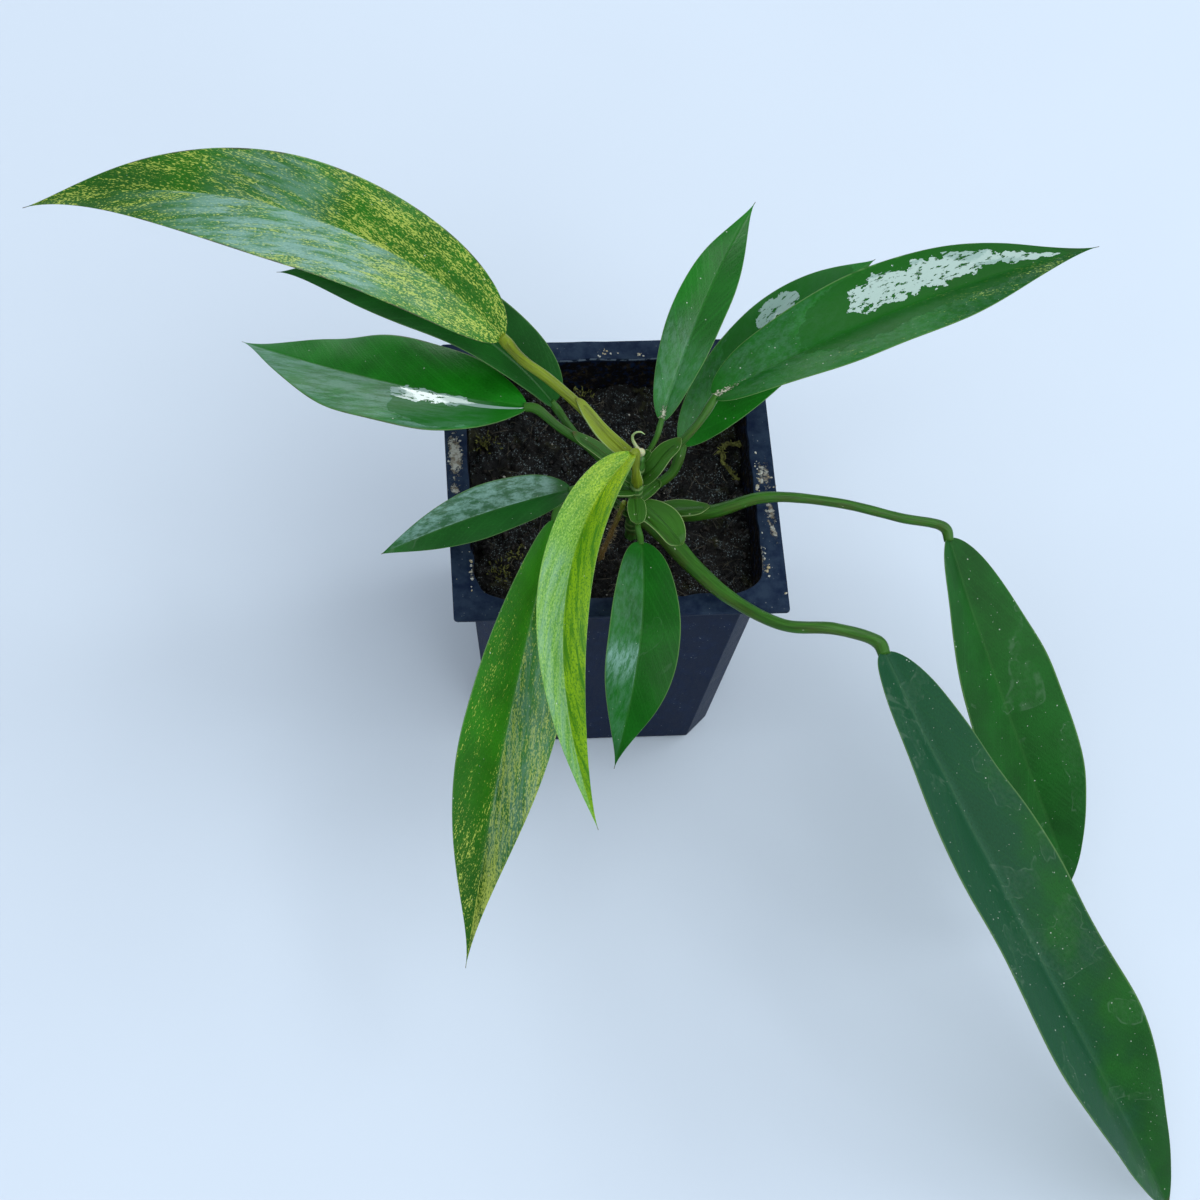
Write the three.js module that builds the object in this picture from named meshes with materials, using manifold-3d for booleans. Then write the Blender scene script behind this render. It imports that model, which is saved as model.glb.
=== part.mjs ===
import * as THREE from "three";
import { mergeVertices } from "three/addons/utils/BufferGeometryUtils.js";
import Module from "manifold-3d";

// A young philodendron with twelve leaves, in a small square nursery pot filled with peat.
// Millimetres, +Z up. The origin is the centre of the pot's foot and the front faces -Y.

// Clearance between pieces that touch on the real plant.
const GAP = 0.3;

const POT = {
  height: 57,
  rimSide: 55,
  rimWidth: 3.7,
  rimThickness: 0.8,
  rimCorner: 0.6,
  footSide: 39,
  footEdge: 0.6,
  chamfer: 3.8,
  wall: 0.7,
  lipHeight: 2,
  floor: 1.2,
  openingCorner: 6,
  drainRadius: 2.2,
  drainOffset: 9,
};

const SOIL = {
  level: 49.4,
  relief: 0.7,
  edgeDip: 0.8,
  rings: 10,
  perSide: 8,
};

// The stem leans a little to the left as it rises. A scar rings it a little below each leaf's
// join: full height within scarCrest of its line, and gone at scarFoot from it.
const STEM = {
  foot: [3.3, -7.6, 41],
  top: [3, -8.2, 74.6],
  footRadius: 1.35,
  topRadius: 1.0,
  scarHeight: 0.18,
  scarBelowJoin: 1.2,
  scarCrest: 0.3,
  scarFoot: 1.2,
  rings: 22,
  sides: 12,
};

const BLADE = {
  thickness: 0.6,
  ribThickness: 1.1,
  stations: 18,
  halfCells: 3,
  leastHalfWidth: 0.4,
  waves: 3,
  ribTaper: 0.5,
};

// A sheath is an open channel sunk by a share of its depth. Its width swells from a share of the
// half wave at the stem to full in the middle and closes over sheathFade either side of its end.
const STALK = {
  stations: 16,
  lowerCells: 4,
  upperCells: 4,
  channel: 0.72,
  sheathFade: 0.05,
  swellAtStem: 0.3,
  neck: 1.4,
  taperEnd: 0.6,
};

const GREEN = "#2c5f22";
const DEEP_GREEN = "#234f2c";
const FLECKED_GREEN = "#6f9a34";
const YELLOW_GREEN = "#a3c02e";
const STALK_GREEN = "#3f7a24";
const STALK_OLIVE = "#8a9c36";

// Angles are degrees and lengths millimetres. A heading is measured from +X towards +Y, a pitch
// upwards from level. turn, droop and twist are what heading, pitch and roll gain over the blade.
// fold lifts each half from the rib. widest is a share of the length. shoulder and point round
// the outline's two ends: 0.5 is an arc and more than 1 a drawn-out point. join says where the
// stalk leaves the stem, and over lists what it passes through on its way to the blade. facing
// is the heading that its sheath is square to, where that isn't the heading of the join.
const LEAVES = [
  {
    name: "top_left",
    color: FLECKED_GREEN,
    stalkColor: STALK_OLIVE,
    join: { heading: 160, height: 72.4 },
    over: [[-0.1, -7.2, 75], [-3.6, -5.8, 78.7], [-6.4, -3.5, 81.4], [-11.8, 0.2, 84.7], [-15.6, 2.8, 86]],
    stalk: { radius: 0.85, sheathWidth: 1.6, sheathDepth: 1.2, sheathEnd: 0.47, neck: 1 },
    foot: [-18.9, 6.7, 87],
    length: 84, width: 18.2, heading: 159, turn: 17, pitch: 50, droop: 78, roll: -27, twist: -14,
    fold: 24, widest: 0.46, shoulder: 0.53, point: 1.68, wave: 0.3,
  },
  {
    name: "left",
    color: GREEN,
    stalkColor: STALK_GREEN,
    join: { heading: 146, height: 65.6 },
    over: [[-0.9, -4.9, 67.5], [-4.8, -2.9, 69.9], [-9.4, -0.9, 72.4]],
    stalk: { radius: 0.72, sheathWidth: 1.3, sheathDepth: 1.1, sheathEnd: 0.58, neck: 1 },
    foot: [-14.6, 2, 74.2],
    length: 61, width: 18.9, heading: 167, turn: -40, pitch: -4, droop: 33, roll: 2, twist: 2,
    fold: 3, widest: 0.37, shoulder: 0.66, point: 1.75, wave: 0.4,
  },
  {
    name: "back_left",
    color: DEEP_GREEN,
    stalkColor: STALK_GREEN,
    join: { heading: 122, height: 61 },
    over: [[-2, -1.6, 63.4], [-5.6, 1.3, 65.6], [-8.2, 3.9, 67.8]],
    stalk: { radius: 0.62, sheathWidth: 1.1, sheathDepth: 0.95, sheathEnd: 0.35, neck: 1 },
    foot: [-10, 6.2, 69],
    length: 52, width: 15.8, heading: 140, turn: 33, pitch: 38, droop: 48, roll: 5, twist: -50,
    fold: 42, widest: 0.52, shoulder: 0.37, point: 1.53, wave: 0.2,
  },
  {
    name: "low_left",
    color: DEEP_GREEN,
    stalkColor: STALK_GREEN,
    join: { heading: 164, height: 56 },
    over: [[-1.4, -6.9, 60], [-4.2, -7.7, 62.8]],
    stalk: { radius: 0.55, sheathWidth: 0.95, sheathDepth: 0.85, sheathEnd: 0.4 },
    foot: [-7.6, -8.2, 65],
    length: 33, width: 9.6, heading: 195, turn: 1, pitch: 5, droop: 25, roll: -7, twist: -33,
    fold: 26, widest: 0.42, shoulder: 0.54, point: 1.16, wave: 0.2,
  },
  {
    name: "front_left",
    color: FLECKED_GREEN,
    stalkColor: STALK_GREEN,
    join: { heading: 212, height: 64 },
    over: [[-3.2, -11.2, 67.8], [-7.6, -13.7, 69]],
    stalk: { radius: 0.7, sheathWidth: 1.15, sheathDepth: 1.0, sheathEnd: 0.35 },
    foot: [-10.8, -16, 67.9],
    length: 75, width: 18.5, heading: -107, turn: 4, pitch: -11, droop: 41, roll: -31, twist: 51,
    fold: 37, widest: 0.45, shoulder: 0.54, point: 1.75, wave: 0.3,
  },
  {
    name: "newest",
    color: YELLOW_GREEN,
    stalkColor: STALK_OLIVE,
    join: { heading: -104, height: 67 },
    over: [[2.5, -11, 70.5], [2, -11.2, 75]],
    stalk: { radius: 0.6, sheathWidth: 1.0, sheathDepth: 0.9, sheathEnd: 0.6, neck: 0.4 },
    foot: [1.4, -10.5, 78.6],
    length: 67.5, width: 10.5, heading: -130, turn: 67, pitch: 16, droop: 64, roll: 3, twist: 6,
    fold: 38, widest: 0.41, shoulder: 0.54, point: 1.4, wave: 0.2,
  },
  {
    name: "front",
    color: GREEN,
    stalkColor: STALK_GREEN,
    join: { heading: -95, height: 62.6 },
    over: [[3, -12, 63], [2.9, -14.8, 63.4]],
    stalk: { radius: 0.5, sheathWidth: 1.55, sheathDepth: 1.0, sheathEnd: 0.62, neck: 0.8 },
    foot: [3.2, -17.4, 63],
    length: 39, width: 13.1, heading: -89, turn: -24, pitch: 2, droop: 62, roll: -14, twist: -13,
    fold: 19, widest: 0.48, shoulder: 0.52, point: 1.75, wave: 0.1,
  },
  {
    name: "back",
    color: GREEN,
    stalkColor: STALK_GREEN,
    join: { heading: 66, height: 72.2 },
    over: [[4.9, -7.3, 76.1], [5.8, -6.1, 77.9]],
    stalk: { radius: 0.42, sheathWidth: 0.75, sheathDepth: 0.65, sheathEnd: 0.4, neck: 0.5 },
    foot: [6.4, -4.5, 78.9],
    length: 42, width: 9.5, heading: 67, turn: -6, pitch: 36, droop: 42, roll: -17, twist: 20,
    fold: 17, widest: 0.47, shoulder: 0.57, point: 1.65, wave: 0.2,
  },
  {
    name: "top_right",
    color: GREEN,
    stalkColor: STALK_GREEN,
    join: { heading: 0, height: 67.4 },
    over: [[5.9, -9, 72.2], [7.6, -7.9, 74.6], [9.4, -7.2, 76.5], [12.5, -5, 79.4]],
    stalk: { radius: 0.72, sheathWidth: 1.75, sheathDepth: 1.2, sheathEnd: 0.56, neck: 1, facing: 40 },
    foot: [14.8, -1.6, 81],
    length: 73, width: 16.8, heading: 21, turn: 2, pitch: 18, droop: 32, roll: -6, twist: 19,
    fold: 24, widest: 0.45, shoulder: 0.48, point: 1.7, wave: 0.3,
  },
  {
    name: "back_right",
    color: GREEN,
    stalkColor: STALK_GREEN,
    join: { heading: 30, height: 60.4 },
    over: [[6.5, -5.9, 62], [8.8, -5.1, 64.1], [11.2, -4.3, 66]],
    stalk: { radius: 0.8, sheathWidth: 1.1, sheathDepth: 1.0, sheathEnd: 0.4, neck: 0.8, facing: 48 },
    foot: [10.7, -2, 68],
    length: 51, width: 13.5, heading: 49, turn: -9, pitch: 20, droop: 33, roll: 11, twist: 29,
    fold: 18, widest: 0.44, shoulder: 0.58, point: 1.36, wave: 0.2,
  },
  {
    name: "right",
    color: DEEP_GREEN,
    stalkColor: STALK_GREEN,
    join: { heading: -14, height: 54.6 },
    over: [
      [8.9, -9.2, 57.9], [16, -11.3, 62.4], [23.6, -10.9, 65.5], [35.5, -11.9, 65],
      [46.5, -13.8, 62.8],
    ],
    stalk: { radius: 0.8, baseRadius: 1.35, sheathWidth: 1.6, sheathDepth: 1.35, sheathEnd: 0.24 },
    foot: [54.8, -15.6, 59],
    length: 67, width: 20.4, heading: -72, turn: 24, pitch: -30, droop: 27, roll: -31, twist: 56,
    fold: 18, widest: 0.5, shoulder: 0.52, point: 0.92, wave: 0.3,
  },
  {
    name: "front_right",
    color: DEEP_GREEN,
    stalkColor: STALK_GREEN,
    join: { heading: -52, height: 59.4 },
    over: [
      [7.7, -14.4, 60.2], [11.6, -20.2, 60.2], [17.5, -27.1, 60.5], [25.4, -32.8, 61.4],
      [33.5, -34, 61.8],
    ],
    stalk: { radius: 1.0, baseRadius: 1.75, sheathWidth: 2.7, sheathDepth: 1.7, sheathEnd: 0.19 },
    foot: [41.7, -36.2, 57.6],
    length: 108, width: 24.4, heading: -70, turn: 25, pitch: -10, droop: 43, roll: -23, twist: 5,
    fold: 19, widest: 0.64, shoulder: 0.47, point: 0.87, wave: 0.5,
  },
];

const AERIAL_ROOT = {
  path: [
    [1.2, -9, 62.2], [0.6, -9.1, 59], [-0.3, -9.9, 55.5], [-1.4, -10.9, 52], [-2.2, -11.9, 49.6],
    [-2.5, -12.2, 45],
  ],
  radius: 0.45,
  knots: 0.06,
  holeRadius: 1.5,
  stations: 16,
  sides: 8,
};

// A bud at the stem's tip, drawn out into a thread that curls over to the right.
const NEW_SHOOT = {
  path: [
    [3.1, -8.3, 75], [3.1, -8.4, 75.9], [2.6, -8.6, 76.9], [1.8, -8.4, 78.4], [1.4, -8.3, 79.6],
    [1.4, -8.3, 80.7], [1.9, -8.4, 81.6], [2.6, -8.5, 81.8], [3.2, -8.7, 81.4],
  ],
  budRadius: 0.75,
  budLength: 0.28,
  threadRadius: 0.32,
  tipRadius: 0.3,
  stations: 26,
  sides: 8,
};

const wasm = await Module();
wasm.setup();

const radians = THREE.MathUtils.degToRad;
const smooth = (x, from, to) => THREE.MathUtils.smoothstep(x, from, to);
const point = ([x, y, z]) => new THREE.Vector3(x, y, z);

// A closed body through rings of equal count, each end closed round its middle. otherSplit says
// which quads of a strip are cut along their other diagonal.
function loft(rings, otherSplit = () => false) {
  const count = rings[0].length;
  const vertices = rings.flat();
  const index = [];
  for (let i = 0; i + 1 < rings.length; i++) {
    for (let j = 0; j < count; j++) {
      const a = i * count + j;
      const b = i * count + ((j + 1) % count);
      const c = b + count;
      const d = a + count;
      if (otherSplit(j)) index.push(a, b, d, b, c, d);
      else index.push(a, b, c, a, c, d);
    }
  }
  for (const end of [0, rings.length - 1]) {
    const ring = rings[end];
    const middle = ring.reduce((sum, p) => sum.add(p), new THREE.Vector3()).divideScalar(count);
    const centre = vertices.push(middle) - 1;
    for (let j = 0; j < count; j++) {
      const a = end * count + j;
      const b = end * count + ((j + 1) % count);
      index.push(...(end === 0 ? [b, a, centre] : [a, b, centre]));
    }
  }
  return facingOut(new THREE.BufferGeometry().setFromPoints(vertices).setIndex(index));
}

// Turns every face round when the body's signed volume is negative.
function facingOut(geometry) {
  const position = geometry.getAttribute("position");
  const index = geometry.getIndex().array;
  const corner = (k) => new THREE.Vector3().fromBufferAttribute(position, index[k]);
  let volume = 0;
  for (let i = 0; i < index.length; i += 3) {
    volume += corner(i).dot(corner(i + 1).cross(corner(i + 2)));
  }
  if (volume < 0) {
    for (let i = 0; i < index.length; i += 3) {
      [index[i + 1], index[i + 2]] = [index[i + 2], index[i + 1]];
    }
  }
  return geometry;
}

function solid(geometry) {
  const bare = geometry.clone();
  bare.deleteAttribute("normal");
  bare.deleteAttribute("uv");
  const merged = mergeVertices(bare, 1e-4);
  return new wasm.Manifold(
    new wasm.Mesh({
      numProp: 3,
      vertProperties: new Float32Array(merged.getAttribute("position").array),
      triVerts: new Uint32Array(merged.getIndex().array),
    }),
  );
}

function geometryOf(manifold) {
  const { vertProperties, triVerts } = manifold.getMesh();
  return new THREE.BufferGeometry()
    .setAttribute("position", new THREE.BufferAttribute(new Float32Array(vertProperties), 3))
    .setIndex(new THREE.BufferAttribute(new Uint32Array(triVerts), 1));
}

// Round tool for an upright hole from one height to another.
function rod(x, y, from, to, radius, sides) {
  const geometry = new THREE.CylinderGeometry(radius, radius, to - from, sides);
  geometry.rotateX(Math.PI / 2);
  geometry.translate(x, y, (from + to) / 2);
  return solid(geometry);
}

// A square ring with cut or rounded corners, counter-clockwise from above.
function squareRing(side, corner, z, rounded = false, perCorner = 4) {
  const half = side / 2;
  const ring = [];
  for (let quarter = 0; quarter < 4; quarter++) {
    const turn = new THREE.Matrix4().makeRotationZ((quarter * Math.PI) / 2);
    for (let k = 0; k <= perCorner; k++) {
      const t = k / perCorner;
      const angle = (t * Math.PI) / 2;
      const along = rounded ? 1 - Math.cos(angle) : t;
      const across = rounded ? 1 - Math.sin(angle) : 1 - t;
      const p = new THREE.Vector3(half - corner * along, half - corner * across, z);
      ring.push(p.applyMatrix4(turn));
    }
  }
  return ring;
}

// Side of the pot's outer body at a height.
function bodySide(z) {
  const top = POT.rimSide - 2 * POT.rimWidth + 2 * POT.wall;
  return THREE.MathUtils.lerp(POT.footSide, top, z / (POT.height - POT.rimThickness));
}

const cavitySide = (z) => bodySide(z) - 2 * POT.wall;

function pot() {
  const underRim = POT.height - POT.rimThickness;
  const underLip = underRim - POT.lipHeight;
  const opening = POT.rimSide - 2 * POT.rimWidth;
  const innerChamfer = POT.chamfer - POT.wall * 0.6;
  const body = solid(
    loft([
      squareRing(POT.footSide - 2 * POT.footEdge, POT.chamfer, 0),
      squareRing(bodySide(POT.footEdge), POT.chamfer, POT.footEdge),
      squareRing(bodySide(underRim), POT.chamfer, underRim),
      squareRing(POT.rimSide, POT.rimCorner, underRim, true),
      squareRing(POT.rimSide, POT.rimCorner, POT.height, true),
      squareRing(opening, POT.openingCorner, POT.height, true),
      squareRing(opening, POT.openingCorner, underRim, true),
      squareRing(cavitySide(underLip), innerChamfer, underLip),
      squareRing(cavitySide(POT.floor), innerChamfer, POT.floor),
    ]),
  );
  const offsets = [-POT.drainOffset, POT.drainOffset];
  const drains = offsets.flatMap((x) =>
    offsets.map((y) => rod(x, y, -1, POT.floor + 1, POT.drainRadius, 16)),
  );
  return geometryOf(drains.reduce((rest, drain) => rest.subtract(drain), body));
}

// Height of the peat: small mounds, and a dip where it has drawn away from the wall.
function soilHeight(x, y, share) {
  const mounds =
    Math.sin(0.42 * x + 0.8) * Math.cos(0.36 * y - 0.5) +
    0.6 * Math.sin(0.95 * x - 0.7 * y + 1.9) +
    0.4 * Math.cos(1.3 * x + 1.1 * y);
  return SOIL.level + 0.5 * SOIL.relief * mounds - SOIL.edgeDip * share ** 6;
}

function soilRing(z, perCorner) {
  return squareRing(cavitySide(z) - 2 * GAP, POT.chamfer, z, false, perCorner);
}

function soil() {
  const bottom = POT.floor + GAP;
  const edge = SOIL.level - SOIL.edgeDip - SOIL.relief;
  const rim = soilRing(edge, SOIL.perSide);
  const top = [];
  for (let i = SOIL.rings; i > 0; i--) {
    const share = i / SOIL.rings;
    top.push(
      rim.map((p) => {
        const x = p.x * share;
        const y = p.y * share;
        return new THREE.Vector3(x, y, soilHeight(x, y, share));
      }),
    );
  }
  const peat = solid(loft([soilRing(bottom, SOIL.perSide), rim, ...top]));
  const [stemX, stemY] = STEM.foot;
  const [entryX, entryY] = AERIAL_ROOT.path.at(-2);
  const [endX, endY, endZ] = AERIAL_ROOT.path.at(-1);
  const above = SOIL.level + 10;
  const stemHoleRadius = STEM.footRadius + STEM.scarHeight + GAP;
  const stemHole = rod(stemX, stemY, STEM.foot[2] - GAP, above, stemHoleRadius, 20);
  const rootHoleX = (entryX + endX) / 2;
  const rootHoleY = (entryY + endY) / 2;
  const rootHole = rod(rootHoleX, rootHoleY, endZ - GAP, above, AERIAL_ROOT.holeRadius, 14);
  return geometryOf(peat.subtract(stemHole).subtract(rootHole));
}

// Frame at a share of a curve: the tangent's side direction stays as near to across as it can.
function frameAt(curve, t, across) {
  const tangent = curve.getTangentAt(t);
  const side = across.clone().addScaledVector(tangent, -across.dot(tangent)).normalize();
  const up = new THREE.Vector3().crossVectors(tangent, side);
  return { origin: curve.getPointAt(t), side, up };
}

// A round-sectioned body along points, whose radius is a function of the share of its length.
function tube(points, radiusAt, stations, sides) {
  const curve = new THREE.CatmullRomCurve3(points.map(point), false, "centripetal");
  const across = new THREE.Vector3(0, 1, 0);
  const rings = [];
  for (let i = 0; i <= stations; i++) {
    const t = i / stations;
    const { origin, side, up } = frameAt(curve, t, across);
    const ring = [];
    for (let j = 0; j < sides; j++) {
      const angle = (2 * Math.PI * j) / sides;
      const p = origin.clone();
      p.addScaledVector(side, Math.cos(angle) * radiusAt(t));
      p.addScaledVector(up, Math.sin(angle) * radiusAt(t));
      ring.push(p);
    }
    rings.push(ring);
  }
  return loft(rings);
}

function stemPoint(height) {
  const t = (height - STEM.foot[2]) / (STEM.top[2] - STEM.foot[2]);
  return point(STEM.foot).lerp(point(STEM.top), t);
}

function stemRadius(height) {
  const t = (height - STEM.foot[2]) / (STEM.top[2] - STEM.foot[2]);
  return THREE.MathUtils.lerp(STEM.footRadius, STEM.topRadius, t);
}

function stem() {
  const scars = LEAVES.map((leaf) => leaf.join.height - STEM.scarBelowJoin);
  const rings = [];
  for (let i = 0; i <= STEM.rings; i++) {
    const height = THREE.MathUtils.lerp(STEM.foot[2], STEM.top[2], i / STEM.rings);
    const nearest = Math.min(...scars.map((scar) => Math.abs(scar - height)));
    const sunk = STEM.scarHeight * smooth(nearest, STEM.scarCrest, STEM.scarFoot);
    const radius = stemRadius(height) - sunk;
    const centre = stemPoint(height);
    const ring = [];
    for (let j = 0; j < STEM.sides; j++) {
      const angle = (2 * Math.PI * j) / STEM.sides;
      ring.push(
        new THREE.Vector3(Math.cos(angle) * radius, Math.sin(angle) * radius, 0).add(centre),
      );
    }
    rings.push(ring);
  }
  return loft(rings);
}

// Unit direction of a heading and a pitch in degrees.
function direction(heading, pitch) {
  const h = radians(heading);
  const e = radians(pitch);
  return new THREE.Vector3(Math.cos(e) * Math.cos(h), Math.cos(e) * Math.sin(h), Math.sin(e));
}

// The stalk's line: from the stem's surface, over the listed points, to just short of the blade.
function stalkCurve(leaf) {
  const { heading, height } = leaf.join;
  const clear = stemRadius(height) + GAP;
  const start = stemPoint(height).addScaledVector(direction(heading, 0), clear);
  const aim = direction(leaf.heading, leaf.pitch);
  const neck = leaf.stalk.neck ?? STALK.neck;
  const bend = point(leaf.foot).addScaledVector(aim, -GAP - neck);
  const end = point(leaf.foot).addScaledVector(aim, -GAP);
  const points = [start, ...leaf.over.map(point), bend, end];
  return new THREE.CatmullRomCurve3(points, false, "centripetal");
}

// A stalk: an open channel where its sheath is, and round beyond it. It is thickest at the stem.
function stalk(leaf) {
  const { radius, baseRadius, sheathWidth, sheathDepth, sheathEnd } = leaf.stalk;
  const curve = stalkCurve(leaf);
  const across = direction((leaf.stalk.facing ?? leaf.join.heading) + 90, 0);
  const rings = [];
  for (let i = 0; i <= STALK.stations; i++) {
    const t = i / STALK.stations;
    const round = THREE.MathUtils.lerp(baseRadius ?? radius, radius, smooth(t, 0, STALK.taperEnd));
    const sheath = 1 - smooth(t, sheathEnd - STALK.sheathFade, sheathEnd + STALK.sheathFade);
    const wave = THREE.MathUtils.lerp(STALK.swellAtStem, 1, Math.min(1, t / sheathEnd));
    const swell = sheath * Math.sqrt(Math.sin(Math.PI * wave));
    const halfWidth = THREE.MathUtils.lerp(round, sheathWidth, swell);
    const halfDepth = THREE.MathUtils.lerp(round, sheathDepth, swell);
    const { origin, side, up } = frameAt(curve, t, across);
    const place = (right, height) =>
      origin.clone().addScaledVector(side, right).addScaledVector(up, height);
    const ring = [];
    for (let j = 0; j < STALK.lowerCells; j++) {
      const angle = Math.PI * (1 + j / STALK.lowerCells);
      ring.push(place(halfWidth * Math.cos(angle), halfDepth * Math.sin(angle)));
    }
    for (let j = 0; j < STALK.upperCells; j++) {
      const angle = (Math.PI * j) / STALK.upperCells;
      const sunk = 1 - 2 * STALK.channel * swell;
      ring.push(place(halfWidth * Math.cos(angle), halfDepth * Math.sin(angle) * sunk));
    }
    rings.push(ring);
  }
  return loft(rings);
}

// Half width of a blade as a share of its greatest, at a share of its length.
function outline(leaf, s) {
  if (s < leaf.widest) return (1 - (1 - s / leaf.widest) ** 2) ** leaf.shoulder;
  return Math.max(0, 1 - ((s - leaf.widest) / (1 - leaf.widest)) ** 2) ** leaf.point;
}

// A blade: its rib is carried forward step by step along a heading and pitch that change evenly,
// each half is lifted by the fold, and the margins wave gently.
function blade(leaf) {
  const step = leaf.length / BLADE.stations;
  const rib = point(leaf.foot);
  const rings = [];
  for (let i = 0; i <= BLADE.stations; i++) {
    const s = i / BLADE.stations;
    const heading = leaf.heading + leaf.turn * s;
    const pitch = leaf.pitch - leaf.droop * s;
    if (i > 0) {
      const middle = s - 0.5 / BLADE.stations;
      rib.addScaledVector(
        direction(leaf.heading + leaf.turn * middle, leaf.pitch - leaf.droop * middle),
        step,
      );
    }
    const roll = radians(leaf.roll + leaf.twist * s);
    const level = direction(heading + 90, 0);
    const raised = direction(heading, pitch + 90);
    const side = level.clone().multiplyScalar(Math.cos(roll)).addScaledVector(raised, Math.sin(roll));
    const up = raised.clone().multiplyScalar(Math.cos(roll)).addScaledVector(level, -Math.sin(roll));
    const halfWidth = Math.max((leaf.width / 2) * outline(leaf, s), BLADE.leastHalfWidth);
    const fold = radians(leaf.fold);
    const upper = [];
    const lower = [];
    for (let j = -BLADE.halfCells; j <= BLADE.halfCells; j++) {
      const v = j / BLADE.halfCells;
      const ripple = leaf.wave * Math.sin(2 * Math.PI * BLADE.waves * s + Math.sign(v)) * v * v;
      const lift = halfWidth * Math.sin(fold) * Math.abs(v) + ripple * outline(leaf, s);
      const across = halfWidth * Math.cos(fold) * v;
      const taper = 1 - BLADE.ribTaper * s;
      const thickness =
        BLADE.thickness + (BLADE.ribThickness - BLADE.thickness) * taper * (1 - Math.abs(v)) ** 3;
      const top = rib.clone().addScaledVector(side, across);
      top.addScaledVector(up, lift + BLADE.thickness / 2);
      upper.push(top);
      lower.unshift(top.clone().addScaledVector(up, -thickness));
    }
    rings.push([...upper, ...lower]);
  }
  const cells = 2 * BLADE.halfCells;
  return loft(rings, (j) => j > cells);
}

function newShoot() {
  const { budRadius, budLength, threadRadius, tipRadius } = NEW_SHOOT;
  const radiusAt = (t) => {
    const thread = THREE.MathUtils.lerp(threadRadius, tipRadius, t);
    const bud = t < budLength ? Math.sin(Math.PI * (0.18 + (0.82 * t) / budLength)) : 0;
    return Math.max(thread, budRadius * bud);
  };
  return tube(NEW_SHOOT.path, radiusAt, NEW_SHOOT.stations, NEW_SHOOT.sides);
}

function aerialRoot() {
  const radiusAt = (t) => AERIAL_ROOT.radius + AERIAL_ROOT.knots * Math.sin(31 * t);
  return tube(AERIAL_ROOT.path, radiusAt, AERIAL_ROOT.stations, AERIAL_ROOT.sides);
}

function piece(name, geometry, color, roughness) {
  const material = new THREE.MeshStandardMaterial({ color, roughness, metalness: 0 });
  const mesh = new THREE.Mesh(geometry, material);
  mesh.name = name;
  return mesh;
}

const plant = new THREE.Group();
plant.add(piece("stem", stem(), STALK_GREEN, 0.5));
plant.add(piece("new_shoot", newShoot(), "#d8d9a6", 0.5));
plant.add(piece("aerial_root", aerialRoot(), "#7a6a2a", 0.8));
for (const leaf of LEAVES) {
  plant.add(piece("petiole_" + leaf.name, stalk(leaf), leaf.stalkColor, 0.45));
  plant.add(piece("blade_" + leaf.name, blade(leaf), leaf.color, 0.35));
}

const potted = new THREE.Group();
potted.add(piece("pot", pot(), "#1b2130", 0.4));
potted.add(piece("soil", soil(), "#1d1812", 0.95));
potted.add(plant);

export default potted;
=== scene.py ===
"""A young philodendron with twelve leaves in a small square nursery pot, dressed around its frame."""

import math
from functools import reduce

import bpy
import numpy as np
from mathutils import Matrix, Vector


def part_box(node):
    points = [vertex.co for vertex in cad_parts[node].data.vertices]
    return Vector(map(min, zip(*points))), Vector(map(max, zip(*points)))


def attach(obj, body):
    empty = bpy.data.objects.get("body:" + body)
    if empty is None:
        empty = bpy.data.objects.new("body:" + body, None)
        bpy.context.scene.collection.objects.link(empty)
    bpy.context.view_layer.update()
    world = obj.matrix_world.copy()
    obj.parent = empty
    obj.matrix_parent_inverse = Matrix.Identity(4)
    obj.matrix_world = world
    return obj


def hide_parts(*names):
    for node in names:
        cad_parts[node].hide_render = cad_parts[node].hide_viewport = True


bl_info = {
    "name": "Potted Philodendron",
    "version": (1, 0, 0),
    "blender": (4, 5, 0),
    "location": "View3D > Sidebar > Plant",
    "description": "Builds a potted philodendron piece by piece around its frame",
    "category": "Object",
}

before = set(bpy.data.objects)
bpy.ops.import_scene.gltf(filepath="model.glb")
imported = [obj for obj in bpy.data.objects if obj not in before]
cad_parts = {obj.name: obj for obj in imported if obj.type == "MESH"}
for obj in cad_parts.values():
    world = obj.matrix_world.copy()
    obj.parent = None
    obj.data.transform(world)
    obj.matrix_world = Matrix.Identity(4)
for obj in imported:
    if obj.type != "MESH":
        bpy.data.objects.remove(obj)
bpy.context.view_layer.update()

# Shapes are worked out in millimetres, and put_mesh turns them to metres.
MM = 0.001

BODY = "root"

POT_LOW, POT_HIGH = (np.array(corner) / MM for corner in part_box("pot"))
RIM_SIDE = POT_HIGH[0] - POT_LOW[0]
POT_HEIGHT = POT_HIGH[2]
RIM_WIDTH = 3.7
RIM_THICKNESS = 0.8
FOOT_SIDE = 39.0
WALL = 0.7
CHAMFER = 3.8
LIP_HEIGHT = 2.0
FLOOR = 1.2
OPENING_CORNER = 6.0
EDGE_RADIUS = 0.28
LONGEST_STEP = 1.2
DRAIN_RADIUS = 2.2
DRAIN_OFFSET = 9.0
GAP = 0.3

SOIL_LEVEL = 49.4
SOIL_RELIEF = 0.7
SOIL_EDGE_DIP = 0.8

STEM_FOOT = np.array([3.3, -7.6, 41.0])
STEM_TOP = np.array([3.0, -8.2, 74.6])
STEM_FOOT_RADIUS = 1.35
STEM_TOP_RADIUS = 1.0
SCAR_BELOW_JOIN = 1.2

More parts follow.
